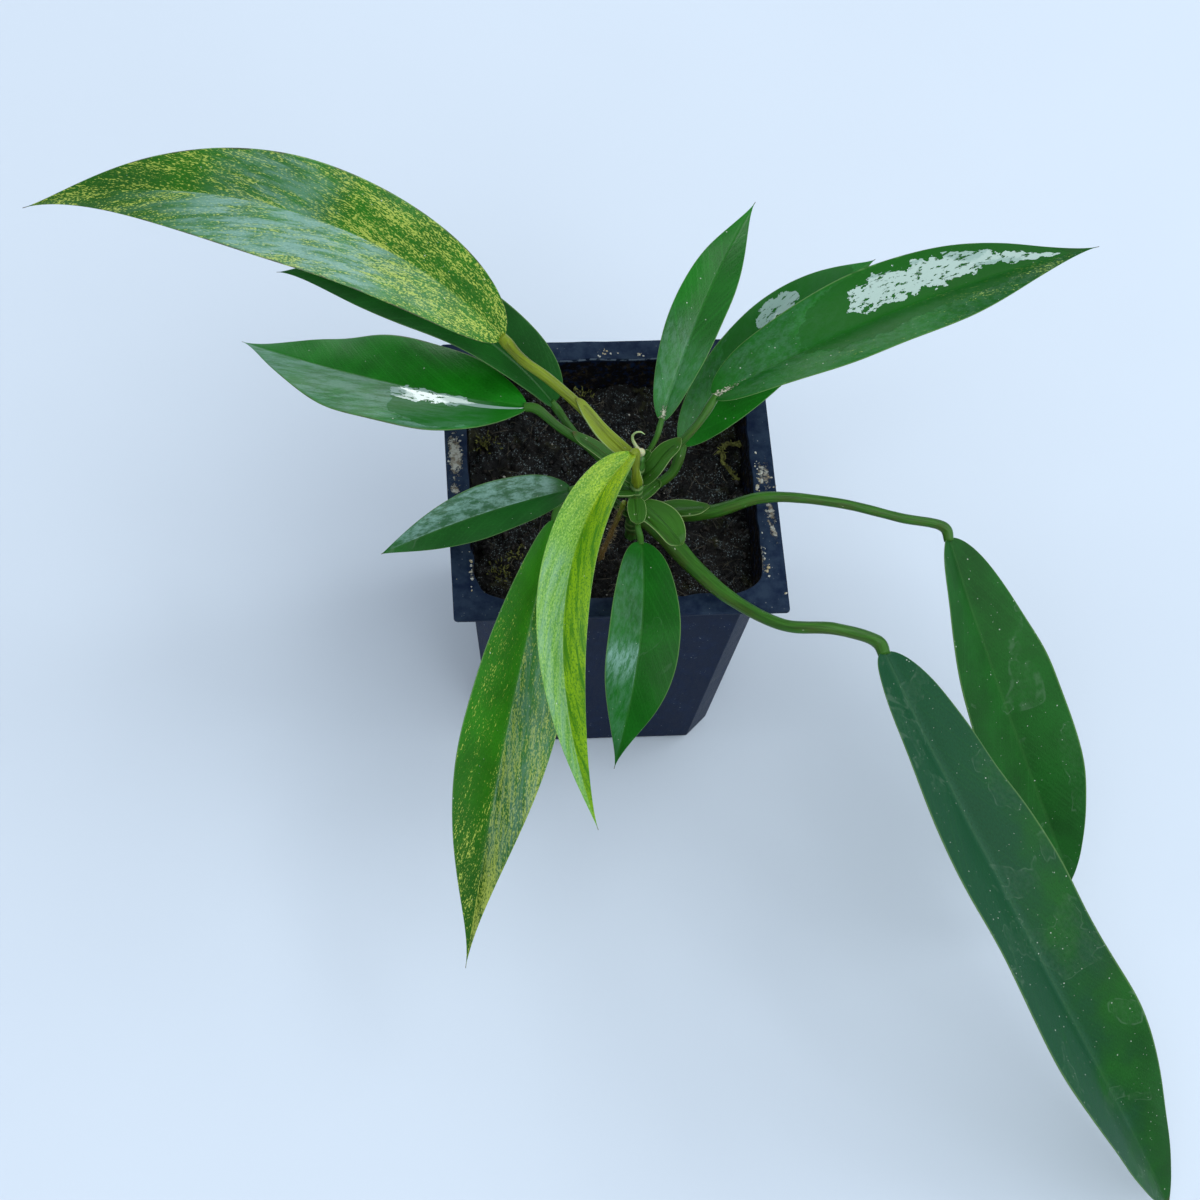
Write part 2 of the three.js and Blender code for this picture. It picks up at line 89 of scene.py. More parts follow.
# Each leaf's stalk, in millimetres and degrees, a heading being measured from +X towards +Y: its
# finish, the heading and height at which it leaves the stem, what it passes through on its way to
# foot, the start of the blade, its radius, and the half width and half depth of its sheath with the
# share of the stalk that it covers. Where they differ from the usual, shift is how far the sheath
# lies off to the side, neck how far the bend lies from foot, facing the side that the sheath opens
# to, base_radius the radius at the stem, and blush how brown the stalk is.
STALK_FIELDS = ("stalk_kind", "join", "over", "foot", "radius", "sheath")
STALKS = {
    "top_left": ("olive", (160, 72.4), [
        (-0.1, -7.2, 75), (-3.6, -5.8, 78.7), (-6.4, -3.5, 81.4), (-11.8, 0.2, 84.7), (-15.6, 2.8, 86),
    ], (-18.9, 6.7, 87), 0.85, (1.6, 1.2, 0.47), dict(shift=0.45, neck=1.0, blush=0.4)),
    "left": ("green", (146, 65.6), [
        (-0.9, -4.9, 67.5), (-4.8, -2.9, 69.9), (-9.4, -0.9, 72.4),
    ], (-14.6, 2, 74.2), 0.72, (1.3, 1.1, 0.58), dict(shift=-0.35, neck=1.0, blush=0.9)),
    "back_left": ("green", (122, 61), [
        (-2, -1.6, 63.4), (-5.6, 1.3, 65.6), (-8.2, 3.9, 67.8),
    ], (-10, 6.2, 69), 0.62, (1.1, 0.95, 0.35), dict(neck=1.0)),
    "low_left": ("green", (164, 56), [
        (-1.4, -6.9, 60), (-4.2, -7.7, 62.8),
    ], (-7.6, -8.2, 65), 0.55, (0.95, 0.85, 0.4), {}),
    "front_left": ("green", (212, 64), [
        (-3.2, -11.2, 67.8), (-7.6, -13.7, 69),
    ], (-10.8, -16, 67.9), 0.7, (1.15, 1.0, 0.35), {}),
    "newest": ("olive", (-104, 67), [
        (2.5, -11, 70.5), (2, -11.2, 75),
    ], (1.4, -10.5, 78.6), 0.6, (1.0, 0.9, 0.6), dict(neck=0.4, blush=0.2)),
    "front": ("green", (-95, 62.6), [
        (3, -12, 63), (2.9, -14.8, 63.4),
    ], (3.2, -17.4, 63), 0.5, (1.55, 1.0, 0.62), dict(neck=0.8)),
    "back": ("green", (66, 72.2), [
        (4.9, -7.3, 76.1), (5.8, -6.1, 77.9),
    ], (6.4, -4.5, 78.9), 0.42, (0.75, 0.65, 0.4), dict(neck=0.5)),
    "top_right": ("green", (0, 67.4), [
        (5.9, -9, 72.2), (7.6, -7.9, 74.6), (9.4, -7.2, 76.5), (12.5, -5, 79.4),
    ], (14.8, -1.6, 81), 0.66, (1.75, 1.2, 0.56), dict(shift=0.5, neck=0, facing=40, blush=0.35)),
    "back_right": ("green", (30, 60.4), [
        (6.5, -5.9, 62), (9.4, -4.8, 64.6),
    ], (10.7, -2, 68), 0.8, (1.1, 1.0, 0.4), dict(neck=0, facing=48)),
    "right": ("green", (-14, 54.6), [
        (8.9, -9.2, 57.9), (16, -11.3, 62.4), (23.6, -10.9, 65.5), (35.5, -11.9, 65), (46.5, -13.8, 62.8),
    ], (54.8, -15.6, 59), 0.8, (1.8, 1.35, 0.24), dict(base_radius=1.35, shift=0.7)),
    "front_right": ("green", (-52, 59.4), [
        (7.7, -14.4, 60.2), (11.6, -20.2, 60.2), (17.5, -27.1, 60.5), (25.4, -32.8, 61.4), (33.5, -34, 61.8),
    ], (41.7, -36.2, 57.6), 1.0, (2.7, 1.7, 0.2), dict(base_radius=1.75, shift=1.3)),
}

# Each leaf's blade: its ground colour, then sizes, angles and the form of its outline. turn, droop
# and twist are what heading, pitch and roll gain over the blade.
BLADE_FIELDS = (
    "kind", "length", "width", "heading", "turn", "pitch", "droop", "roll", "twist", "fold",
    "widest", "shoulder", "point", "wave",
)
BLADES = {
    "top_left": ("flecked_green", 84, 18.2, 159, 17, 50, 78, -27, -14, 24, 0.46, 0.53, 1.68, 0.3),
    "left": ("green", 61, 18.9, 167, -40, -4, 33, 2, 2, 8, 0.37, 0.66, 1.75, 0.4),
    "back_left": ("deep_green", 52, 15.8, 140, 33, 38, 48, 5, -50, 42, 0.52, 0.37, 1.53, 0.2),
    "low_left": ("deep_green", 33, 9.6, 195, 1, 5, 25, -7, -33, 26, 0.42, 0.54, 1.16, 0.2),
    "front_left": ("flecked_green", 75, 18.5, -107, 4, -11, 41, -31, 51, 37, 0.45, 0.54, 1.75, 0.3),
    "newest": ("yellow", 67.5, 10.5, -130, 67, 16, 64, 3, 6, 38, 0.41, 0.54, 1.4, 0.2),
    "front": ("green", 39, 13.1, -89, -24, 2, 62, -14, -13, 19, 0.48, 0.52, 1.75, 0.1),
    "back": ("green", 42, 9.5, 67, -6, 36, 42, -17, 20, 17, 0.47, 0.57, 1.65, 0.2),
    "top_right": ("green", 73, 16.8, 21, 2, 18, 32, -6, 19, 24, 0.45, 0.48, 1.7, 0.3),
    "back_right": ("green", 51, 13.5, 49, -9, 20, 33, 11, 29, 18, 0.44, 0.58, 1.36, 0.2),
    "right": ("deep_green", 67, 20.4, -72, 24, -30, 27, -31, 56, 18, 0.5, 0.52, 0.92, 0.3),
    "front_right": ("deep_green", 108, 24.4, -70, 25, -10, 43, -23, 5, 19, 0.64, 0.47, 0.87, 0.5),
}
LEAVES = [
    dict(zip(STALK_FIELDS + BLADE_FIELDS, row[:-1] + BLADES[name]), name=name, **row[-1])
    for name, row in STALKS.items()
]

# Side veins and the flecks between them leave the rib at these angles, in degrees.
VEIN_ANGLE = 28
FLECK_ANGLE = 9

# Depths of a blade's side veins and buckles and the softness of the crease at its rib, all in
# millimetres, and its arch as a share of its half width.
VEIN_DEPTH = 0.022
BUCKLE_DEPTH = 0.09
CREASE = 0.45
ARCH = 0.035

ROOT_PATH = [
    (1.2, -9, 62.2), (0.6, -9.1, 59), (-0.3, -9.9, 55.5), (-1.4, -10.9, 52), (-2.2, -11.9, 49.6),
    (-2.5, -12.2, 45),
]
ROOT_RADIUS = 0.45

SHOOT_PATH = [
    (3.1, -8.3, 75), (3.1, -8.4, 75.9), (2.6, -8.6, 76.9), (1.8, -8.4, 78.4), (1.4, -8.3, 79.6),
    (1.4, -8.3, 80.7), (1.9, -8.4, 81.6), (2.6, -8.5, 81.8), (3.2, -8.7, 81.4),
]
BUD_RADIUS = 0.62
BUD_LENGTH = 0.28
THREAD_RADIUS = 0.3

# Patches of dried minerals on the rim: centre, half sizes, and how thick they lie.
CRUSTS = [
    ((-25.9, 4.6), (1.4, 5.0), 1.0), ((-26.2, -2.0), (1.2, 1.6), 0.9), ((-24.2, -18.0), (0.8, 3.2), 0.6),
    ((-21.6, -22.0), (2.6, 0.9), 0.55), ((25.7, -1.0), (1.5, 4.2), 0.75), ((26.0, -8.0), (1.1, 1.8), 1.0),
    ((26.1, -12.0), (0.9, 1.8), 1.0), ((23.8, -17.0), (0.8, 5.0), 0.6), ((3.0, 25.0), (6.0, 0.8), 0.35),
    ((-26.9, -20.0), (0.7, 5.0), 0.3), ((27.2, -22.0), (0.5, 6.0), 0.45),
]

# Moss on the peat: centre, radius, number of tufts.
MOSS = [
    ((-20.3, 12.2), 1.5, 60), ((-19.1, -13.9), 1.8, 70), ((-16.0, -10.5), 1.4, 26), ((-3.3, 22.3), 1.6, 40),
]
MOSS_STRANDS = [
    [(19.4, 8.6), (21.2, 9.6), (23.2, 9.2), (23.6, 10.6)],
    [(20.2, 9.0), (20.0, 7.0), (21.2, 5.2), (22.6, 3.2)],
]

# Water lying on a blade, in shares of its length and half width: start, end, the middle line's
# side at the start, its bow and its side at the end, half its breadth, and how ragged it is. A film
# mirrors the light through a clear coat and is also painted pale, a painted reflection, and a wet
# patch only darkens the green.
FILMS = {
    "top_right": [(0.36, 0.7, 0.45, 0.0, 0.52, 0.3, 1.0), (0.58, 0.88, 0.7, 0.0, 0.32, 0.2, 1.0)],
    "back_right": [(0.46, 0.64, 0.5, 0.05, 0.55, 0.26, 0.7)],
    "left": [(-0.02, 0.22, 0.3, 0.02, 0.12, 0.07, 0.05), (0.16, 0.38, 0.13, 0.03, 0.14, 0.17, 0.85)],
}
WET = {
    "top_right": [(0.22, 0.92, 0.12, 0.1, 0.3, 0.75, 0.35)],
    "back_right": [(0.3, 0.9, 0.5, 0.0, 0.4, 0.6, 0.35)],
    "left": [(-0.05, 0.36, 0.5, 0.0, 0.35, 0.5, 0.3)],
}
# Films more ragged than this are broken up as well.
RAGGED = 0.3

# Looks of each blade. tone scales its ground, flecks is how much of it is yellow, gradient how much
# more so towards the tip, and side how much more on the side of positive v. roughness is added to
# the usual, gloss is the index of refraction, and veins is how clearly its side veins show. stains
# is how strongly old water marks show, scurf how much dry scale lies at the base of its rib, dust
# the share of specks that show, brown_edge how brown its margin is in places, and cool how blue the
# base and the side of negative v are, with a painted bluish sheen along the rib. The bands of painted
# sheen, a pale colour laid where the blade catches the light, are each a side, where it starts and
# ends along the rib, and its strength, and mottle is how short the marks in that painted sheen are.
PLAIN_LOOK = dict(
    tone=1.0, flecks=0, gradient=0, side=0, roughness=0, gloss=1.27, veins=0.26, stains=0, scurf=0,
    dust=0.12, brown_edge=0, cool=0, sheen_bands=[], mottle=0.14,
)
LOOKS = {
    "top_left": dict(
        tone=0.85, flecks=0.5, gradient=-0.16, roughness=-0.06, gloss=1.32, brown_edge=0.8,
        sheen_bands=[(1, 0.24, 0.68, 0.9), (1, 0.1, 0.8, 0.2), (-1, 0.38, 0.6, 0.5)],
    ),
    "left": dict(
        tone=1.1, roughness=-0.06, brown_edge=0.5, gloss=1.24, veins=0.5, sheen_bands=[(1, 0.06, 0.98, 0.55)],
    ),
    "back_left": dict(roughness=-0.02),
    "low_left": dict(stains=0.2, mottle=0.4, sheen_bands=[(-1, 0.04, 0.9, 0.85)]),
    "front_left": dict(
        tone=0.84, flecks=0.45, gradient=0.28, side=0.1, roughness=-0.04, gloss=1.28,
        sheen_bands=[(1, 0.2, 0.75, 0.4)],
    ),
    "newest": dict(roughness=-0.02, gloss=1.3, sheen_bands=[(-1, 0.3, 0.9, 0.42)]),
    "front": dict(
        tone=0.72, stains=0.1, gloss=1.2, mottle=0.4, sheen_bands=[(-1, 0.05, 0.9, 0.14), (-1, 0.42, 0.58, 0.8)],
    ),
    "back": dict(
        roughness=-0.06, gloss=1.36, scurf=0.8, mottle=0.5, veins=0.4,
        sheen_bands=[(1, 0.0, 0.4, 0.2), (-1, 0.0, 0.3, 0.18)],
    ),
    "top_right": dict(
        tone=0.82, flecks=0.18, gradient=0.3, side=-0.1, scurf=1.0, dust=0.25, gloss=1.2, mottle=0.6,
        sheen_bands=[(1, 0.0, 0.34, 0.12), (-1, 0.0, 0.95, 0.1)],
    ),
    "back_right": dict(dust=0.25, mottle=0.6, sheen_bands=[(1, 0.0, 0.9, 0.1)]),
    "right": dict(tone=0.88, roughness=0.14, stains=0.2, dust=0.35, gloss=1.2),
    "front_right": dict(
        tone=0.8, roughness=0.1, stains=0.22, dust=0.45, gloss=1.2, cool=0.9, veins=0.12,
    ),
}

# Colours that no setting holds: what lies on the pieces, what is worn, dried or dead, and painted sheen,
# reflection, highlight and shade.
# Painted sheen, laid on the blades in bands where they catch the light.
PAINTED_SHEEN = (0.21, 0.37, 0.33)
# Painted reflection of the light in a water film on a blade.
FILM_REFLECTION = (0.36, 0.50, 0.47)
DUST = (0.5, 0.55, 0.48)
WATER_MARK = (0.19, 0.27, 0.2)
SCURF = (0.58, 0.57, 0.44)
BROWN_EDGE = (0.06, 0.035, 0.03)
DRY_TIP = (0.09, 0.05, 0.035)
BLUE_GREEN = (0.006, 0.056, 0.024)
# Painted bluish sheen along the rib of a cool blade.
BLUE_SHEEN = (0.03, 0.10, 0.06)
PALE_FLECK = (0.30, 0.42, 0.09)
OUTER_YELLOW = (0.13, 0.37, 0.004)
GREY_PATCH = (0.115, 0.31, 0.06)
GREEN_STREAK = (0.03, 0.17, 0.002)
GREEN_SPECK = (0.04, 0.19, 0.01)
CREAM_SPECK = (0.36, 0.52, 0.14)
PORE = (0.5, 0.55, 0.36)
# Top of the rim: partly dust and partly painted sheen.
RIM_DUST_AND_SHEEN = (0.019, 0.033, 0.058)
POT_SPECK = (0.25, 0.27, 0.28)
# Painted highlight along the back of the inner lip.
LIP_HIGHLIGHT = (0.17, 0.23, 0.32)
# Wet peat clinging to the inner wall, also used as painted shade inside the pot.
WET_DIRT_AND_SHADE = (0.0045, 0.0042, 0.005)
DRY_DIRT = (0.034, 0.026, 0.015)
TANNED_CRUST = (0.15, 0.13, 0.10)
TAN_GRAIN = (0.33, 0.27, 0.15)
WHITE_GRAIN = (0.72, 0.74, 0.72)
GLINT = (0.21, 0.27, 0.28)

# The frame's colour slot of each blade's kind.
BLADE_SLOTS = {
    "green": "leaf_green", "deep_green": "leaf_deep_green", "flecked_green": "leaf_flecked",
    "yellow": "leaf_yellow_green",
}

# Soft lights: azimuth from -Y towards +X, elevation, half angle and brightness.
LIGHTS = {
    "window": (92, 32, 18, 2.7),
    "upper_window": (38, 54, 20, 2.9),
    "high_window": (118, 64, 8, 3.5),
    "back": (-178, 21, 8, 3.8),
    "back_glow": (-165, 17, 9, 4.0),
    "front": (26, 31, 11, 1.4),
    "top": (-32, 62, 11, 1.8),
    "left": (-93, 33, 12, 2.4),
}
LIGHT_DISTANCE = 2.2
PLANT_CENTRE = Vector((0.0, -0.01, 0.06))
ROOM_COLOUR = (0.82, 0.9, 1.0)
SENSOR_WIDTH = 36.0

# Half the side and the height of the pale floor under the pot.
GROUND_HALF = 4000.0
GROUND_LEVEL = -0.1


# Settings


def number(name, description, default, low, high, **kind):
    """A number that the user may change between low and high."""
    return bpy.props.FloatProperty(
        name=name, description=description, default=default, min=low, max=high, **kind
    )


def length(name, description, *millimetres):
    """A length: its default, least and greatest value in millimetres."""
    return number(name, description, *(value * MM for value in millimetres), unit="LENGTH")


def angle(name, description, degrees):
    """An angle of up to half a turn either way."""
    return number(name, description, math.radians(degrees), -math.pi, math.pi, subtype="ANGLE")


def count(name, description, default, most):
    """A whole number from 0 to most."""
    return bpy.props.IntProperty(name=name, description=description, default=default, min=0, max=most)


def colour(name, description, default):
    """A colour that the user may change."""
    return bpy.props.FloatVectorProperty(
        name=name, description=description, default=default, size=3, min=0.0, max=1.0, subtype="COLOR"
    )


class BladeSettings(bpy.types.PropertyGroup):
    """Sizes and colours of the leaf blades."""

    thickness: length("Thickness", "Thickness of a blade between its veins", 0.32, 0.1, 0.6)
    margin: length("Margin", "Thickness of a blade at its edge", 0.14, 0.05, 0.4)
    rib: length("Rib", "How far the rib stands out under the blade", 0.45, 0.0, 0.8)
    vein_spacing: length("Vein spacing", "Distance between side veins", 1.5, 0.5, 5)
    roughness: number("Roughness", "Roughness of a dry blade", 0.36, 0.1, 0.9, subtype="FACTOR")
    green: colour("Green", "A plain green blade", (0.005, 0.118, 0.004))
    deep_green: colour("Deep green", "An old blade", (0.008, 0.084, 0.009))
    flecked_green: colour("Flecked green", "Green between the flecks", (0.022, 0.165, 0.004))
    fleck: colour("Fleck", "Yellow flecks of a variegated blade", (0.42, 0.50, 0.085))
    yellow: colour("Yellow", "Yellow ground of the newest blade", (0.33, 0.47, 0.004))
    pale: colour("Pale", "Rib, margin and underside", (0.17, 0.30, 0.10))


class StalkSettings(bpy.types.PropertyGroup):
    """Colours of the stem, its stalks, the root and the new shoot."""

    green: colour("Green", "A green stalk", (0.026, 0.100, 0.009))
    olive: colour("Olive", "The stalks of the youngest leaves", (0.130, 0.180, 0.010))
    pale: colour("Pale", "Thin edges of a sheath", (0.30, 0.42, 0.16))
    blush: colour("Blush", "Brownish tinge of a stalk", (0.075, 0.060, 0.014))
    root: colour("Root", "The aerial root", (0.16, 0.10, 0.025))
    hair: colour("Hair", "Fine hairs of the root", (0.42, 0.34, 0.2))
    bud: colour("Bud", "The new shoot", (0.46, 0.47, 0.26))
    hair_count: count("Hairs", "Number of hairs on the root", 260, 1000)


class PotSettings(bpy.types.PropertyGroup):
    """Colours and wear of the pot."""

    plastic: colour("Plastic", "Dark blue plastic", (0.0042, 0.0105, 0.031))
    crust: colour("Crust", "Dried minerals on the rim", (0.34, 0.35, 0.32))
    lip_wave: length("Lip wave", "How far the thin lip is out of true", 0.24, 0.0, 0.5)
    crust_grains: count("Crust grains", "Grains of crust for one square millimetre", 7, 30)


class PeatSettings(bpy.types.PropertyGroup):
    """Colours and litter of the peat."""

    dark: colour("Dark peat", "Wet peat", (0.0026, 0.0030, 0.0034))
    brown: colour("Brown peat", "Peat that has dried", (0.0095, 0.0068, 0.0046))
    fibre: colour("Fibre", "Dry fibres", (0.105, 0.095, 0.07))
    grit: colour("Grit", "Pale grains", (0.5, 0.48, 0.42))
    moss: colour("Moss", "Moss and algae", (0.095, 0.10, 0.024))
    fibres: count("Fibres", "Number of fibres", 760, 1500)
    crumbs: count("Crumbs", "Number of crumbs", 2600, 4000)
    grains: count("Grains", "Number of pale grains", 170, 600)
    seed: count("Seed", "Seed of every random draw", 7, 9999)


class StageSettings(bpy.types.PropertyGroup):
    """Camera, floor and lights."""

    lens: number("Lens", "Focal length on a 36 mm sensor, in millimetres", 90.0, 20.0, 200.0)
    place: bpy.props.FloatVectorProperty(
        name="Camera", description="Where the camera stands", default=(-0.04568, -0.27533, 0.47428),
        size=3, subtype="TRANSLATION",
    )
    pitch: angle("Pitch", "How far the camera looks down", 58.635)
    yaw: angle("Yaw", "How far it looks to the right", 9.532)
    roll: angle("Roll", "How far it leans to the left", 6.574)
    floor: colour("Floor", "Pale floor", (0.575, 0.645, 0.735))
    light: colour("Light", "Colour of every light", (0.94, 0.98, 1.0))
    surroundings: number("Surroundings", "Brightness of the room", 0.56, 0.0, 2.0)


SETTINGS = {
    "plant_blades": BladeSettings,
    "plant_stalks": StalkSettings,
    "plant_pot": PotSettings,
    "plant_peat": PeatSettings,
    "plant_stage": StageSettings,
}


def settings(name):
    """One group of settings of the scene."""
    return getattr(bpy.context.scene, "plant_" + name)


# Numbers and curves


def smooth(x, low, high):
    """0 below low and 1 above high, with 3t^2 - 2t^3 between them, t being the share of the way."""
    t = np.clip((np.asarray(x, float) - low) / (high - low), 0, 1)
    return t * t * (3 - 2 * t)


def lerp(a, b, t):
    """The point that lies the share t of the way from a to b."""
    return a + (b - a) * t


def unit(vectors):
    """Each vector divided by its length."""
    return vectors / np.maximum(np.linalg.norm(vectors, axis=-1, keepdims=True), 1e-12)


def circle(sides):
    """Cosines and sines of angles evenly round a circle."""
    turn = np.arange(sides) * 2 * np.pi / sides
    return np.cos(turn), np.sin(turn)


def stacked(*coordinates):
    """Points from arrays of their coordinates, which are broadcast to one shape."""
    return np.stack(np.broadcast_arrays(*coordinates), -1)


def direction(heading, pitch):
    """Unit vectors (cos pitch cos heading, cos pitch sin heading, sin pitch) of angles in degrees."""
    h, e = np.radians(heading), np.radians(pitch)
    return stacked(np.cos(e) * np.cos(h), np.cos(e) * np.sin(h), np.sin(e))


def ripple(points, size, seed, waves=9):
    """A random smooth field of about -1 to 1: the sum of plane waves in random directions, each of
    a length near size, over the root of twice their number."""
    rng = np.random.default_rng(seed)
    headings = unit(rng.normal(size=(waves, points.shape[-1])))
    lengths = size * rng.uniform(0.7, 1.4, waves)
    phases = rng.uniform(0, 2 * np.pi, waves)
    total = np.sin(points @ (headings * (2 * np.pi / lengths)[:, None]).T + phases).sum(-1)
    return total / math.sqrt(waves * 2)


def ripples(points, size, seeds):
    """A vector for each point from three ripples."""
    return np.stack([ripple(points, size, seed) for seed in seeds], 1)


def picked(at, known, line):
    """Points of a line at given places, in a straight line between the known ones."""
    return np.stack([np.interp(at, known, column) for column in line.T], 1)


def spline(points, rows):
    """Points evenly spaced along the centripetal Catmull-Rom curve through points, and its length. A
    stretch from b to c is the cubic with those ends whose slopes come from the differences over the
    root of the distances between neighbours, and each end point is mirrored to give the neighbour it
    lacks."""
    p = np.asarray(points, float)
    p = np.vstack([2 * p[0] - p[1], p, 2 * p[-1] - p[-2]])
    steps = np.sqrt(np.linalg.norm(np.diff(p, axis=0), axis=1))
    dense = np.linspace(0, len(p) - 3, 60 * (len(p) - 3) + 1)
    k = np.minimum(dense.astype(int), len(p) - 4)
    t = (dense - k)[:, None]
    a, b, c, d = (p[k + n] for n in range(4))
    before, own, after = (steps[k + n][:, None] for n in range(3))
    slope_b = ((b - a) / before - (c - a) / (before + own) + (c - b) / own) * own
    slope_c = ((c - b) / own - (d - b) / (own + after) + (d - c) / after) * own
    square = (3 * (c - b) - 2 * slope_b - slope_c) * t**2
    curve = b + slope_b * t + square + (2 * (b - c) + slope_b + slope_c) * t**3
    lengths = np.concatenate([[0], np.cumsum(np.linalg.norm(np.diff(curve, axis=0), axis=1))])
    return picked(np.linspace(0, lengths[-1], rows), lengths, curve), lengths[-1]


def frames(line, across):
    """Side and up at each point of a line: side is across without its part along the tangent, and
    up is the tangent's cross product with it."""
    tangent = unit(np.gradient(line, axis=0))
    side = unit(across - tangent * (tangent @ across)[:, None])
    return side, np.cross(tangent, side)


def carried(line, side, up, over, lift):
    """A profile carried along a line: its points lie over along side and lift along up."""
    line, side, up = (a[..., None, :] for a in (line, side, up))
    return line + side * over[..., None] + up * lift[..., None]


# Meshes


def grid_quads(rows, columns, closed):
    """Corners of a grid's quads. Point (i, j) has the number i * columns + j, and a closed grid
    joins the last column to the first."""
    i, j = np.meshgrid(np.arange(rows - 1), np.arange(columns if closed else columns - 1), indexing="ij")
    low, right = i * columns, (j + 1) % columns
    return np.stack([low + j, low + right, low + columns + right, low + columns + j], -1).reshape(-1, 4)


def facing_out(points, faces):
    """Turns every face round if the body's signed volume, a sixth of the sum over its triangles of
    a . (b x c), is negative."""
    volume = 0.0
    for group in faces:
        for k in range(1, group.shape[1] - 1):
            a, b, c = points[group[:, 0]], points[group[:, k]], points[group[:, k + 1]]
            volume += np.einsum("ij,ij->", a, np.cross(b, c))
    return faces if volume > 0 else [group[:, ::-1] for group in faces]


def loft(rings):
    """A closed body: rings (rows, columns, 3) joined by quads, and each end by a fan to its mean."""
    rows, columns, _ = rings.shape
    points = np.vstack([rings.reshape(-1, 3), rings[0].mean(0), rings[-1].mean(0)])
    ring = np.arange(columns)
    following = np.roll(ring, -1)
    last = (rows - 1) * columns
    first_fan = np.stack([following, ring, np.full(columns, rows * columns)], 1)
    last_fan = np.stack([last + ring, last + following, np.full(columns, rows * columns + 1)], 1)
    return points, facing_out(points, [grid_quads(rows, columns, True), first_fan, last_fan])


def marks(rings, **values):
    """Named numbers for each point of a loft, from one for each point of its rings: the ends take
    the mean of theirs."""
    made = {}
    for name, value in values.items():
        value = np.broadcast_to(value, rings.shape[:2])
        made[name] = np.concatenate([value.ravel(), [value[0].mean(), value[-1].mean()]])
    return made


def copied(faces, size, copies):
    """The faces of several copies of a shape that has size points."""
    step = size * np.arange(copies)[:, None, None]
    return [(group[None] + step).reshape(-1, group.shape[1]) for group in faces]


def scattered(template, places, axes, sizes):
    """Copies of a small closed shape: each point of the template times its copy's sizes, turned
    to its axes and moved to its place."""
    points, faces = template
    turned = np.einsum("nk,tk,nkd->ntd", sizes, points, axes) + places[:, None]
    return turned.reshape(-1, 3), copied(faces, len(points), len(places))


def joined(*shapes):
    """One set of points and faces from several."""
    shifts = np.cumsum([0] + [len(points) for points, _ in shapes])
    faces = [group + shift for (_, own), shift in zip(shapes, shifts) for group in own]
    return np.vstack([points for points, _ in shapes]), faces


def put_mesh(name, shape, finish, attributes=None, flat=False):
    """Makes the object: points in millimetres, faces as groups of equal count, and a number for
    each point in every attribute."""
    points, faces = shape
    mesh = bpy.data.meshes.new(name)
    corners = np.concatenate([group.ravel() for group in faces])
    totals = np.concatenate([np.full(len(group), group.shape[1]) for group in faces])
    mesh.vertices.add(len(points))
    mesh.vertices.foreach_set("co", (np.asarray(points) * MM).astype(np.float32).ravel())
    mesh.loops.add(len(corners))
    mesh.loops.foreach_set("vertex_index", corners.astype(np.int32))
    mesh.polygons.add(len(totals))
    mesh.polygons.foreach_set("loop_start", (np.cumsum(totals) - totals).astype(np.int32))
    mesh.polygons.foreach_set("loop_total", totals.astype(np.int32))
    mesh.polygons.foreach_set("use_smooth", np.full(len(totals), not flat))
    for attribute, values in (attributes or {}).items():
        layer = mesh.attributes.new(attribute, "FLOAT", "POINT")
        layer.data.foreach_set("value", np.asarray(values, np.float32))
    mesh.update(calc_edges=True)
    if mesh.validate():
        raise RuntimeError(f"{name} has faces that Blender refuses")
    mesh.materials.append(finish.material)
    obj = bpy.data.objects.new(name, mesh)
    bpy.context.scene.collection.objects.link(obj)
    return obj


def dress(obj, slot, *nodes):
    """The piece rides on the plant's one body and stands for nodes. slot is not used."""
    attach(obj, BODY)
    if nodes:
        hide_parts(*nodes)


def random_axes(rng, copies):
    """Three unit vectors at right angles for each copy, turned at random."""
    first = unit(rng.normal(size=(copies, 3)))
    second = unit(np.cross(first, rng.normal(size=(copies, 3))))
    return np.stack([first, second, np.cross(first, second)], 1)


def upright_axes(rng, copies, tilt):
    """Axes whose third stands nearly upright, leaning at random by up to about tilt."""
    up = unit(np.stack([*(rng.normal(size=(2, copies)) * tilt), np.ones(copies)], 1))
    turn = rng.uniform(0, 2 * np.pi, copies)
    first = unit(np.cross(stacked(np.cos(turn), np.sin(turn), 0.0), up))
    return np.stack([first, np.cross(up, first), up], 1)


def lump(seed, rows=4, columns=7):
    """A small irregular grain: a ball of latitudes and longitudes whose radius is 1 plus half of a
    random ripple."""
    polar = np.linspace(0.25, np.pi - 0.25, rows)[:, None]
    x, y = circle(columns)
    ball = stacked(np.sin(polar) * x, np.sin(polar) * y, np.cos(polar))
    return loft(ball * (1 + 0.5 * ripple(ball, 1.5, seed))[..., None])


def strands(starts, ends, bows, radii, stations=7, sides=5):
    """Thin tubes: each runs from its start to its end, bowed by bow * 4t(1 - t), and its radius is
    that of its middle times the fourth root of sin(pi t), with t kept off the ends."""
    t = np.linspace(0, 1, stations)[None, :, None]
    line = lerp(starts[:, None], ends[:, None], t) + bows[:, None] * 4 * t * (1 - t)
    tangent = unit(np.gradient(line, axis=1))
    aside = unit(np.cross(tangent, np.array([0.13, 0.31, 0.94])))
    thick = radii[:, None, None] * np.sin(np.pi * np.clip(t, 0.03, 0.97)) ** 0.25
    x, y = circle(sides)
    rings = carried(line, aside, np.cross(tangent, aside), thick * x, thick * y)
    template, faces = loft(rings[0])
    points = np.concatenate([rings.reshape(len(rings), -1, 3), rings[:, [0, -1]].mean(2)], 1)
    return points.reshape(-1, 3), copied(faces, len(template), len(rings))


def tube_rings(line, radii, sides, across):
    """Rings round a line, in the frame of its side and up directions."""
    x, y = circle(sides)
    radii = np.broadcast_to(radii, len(line))[:, None]
    return carried(line, *frames(line, across), x * radii, y * radii)


# Materials


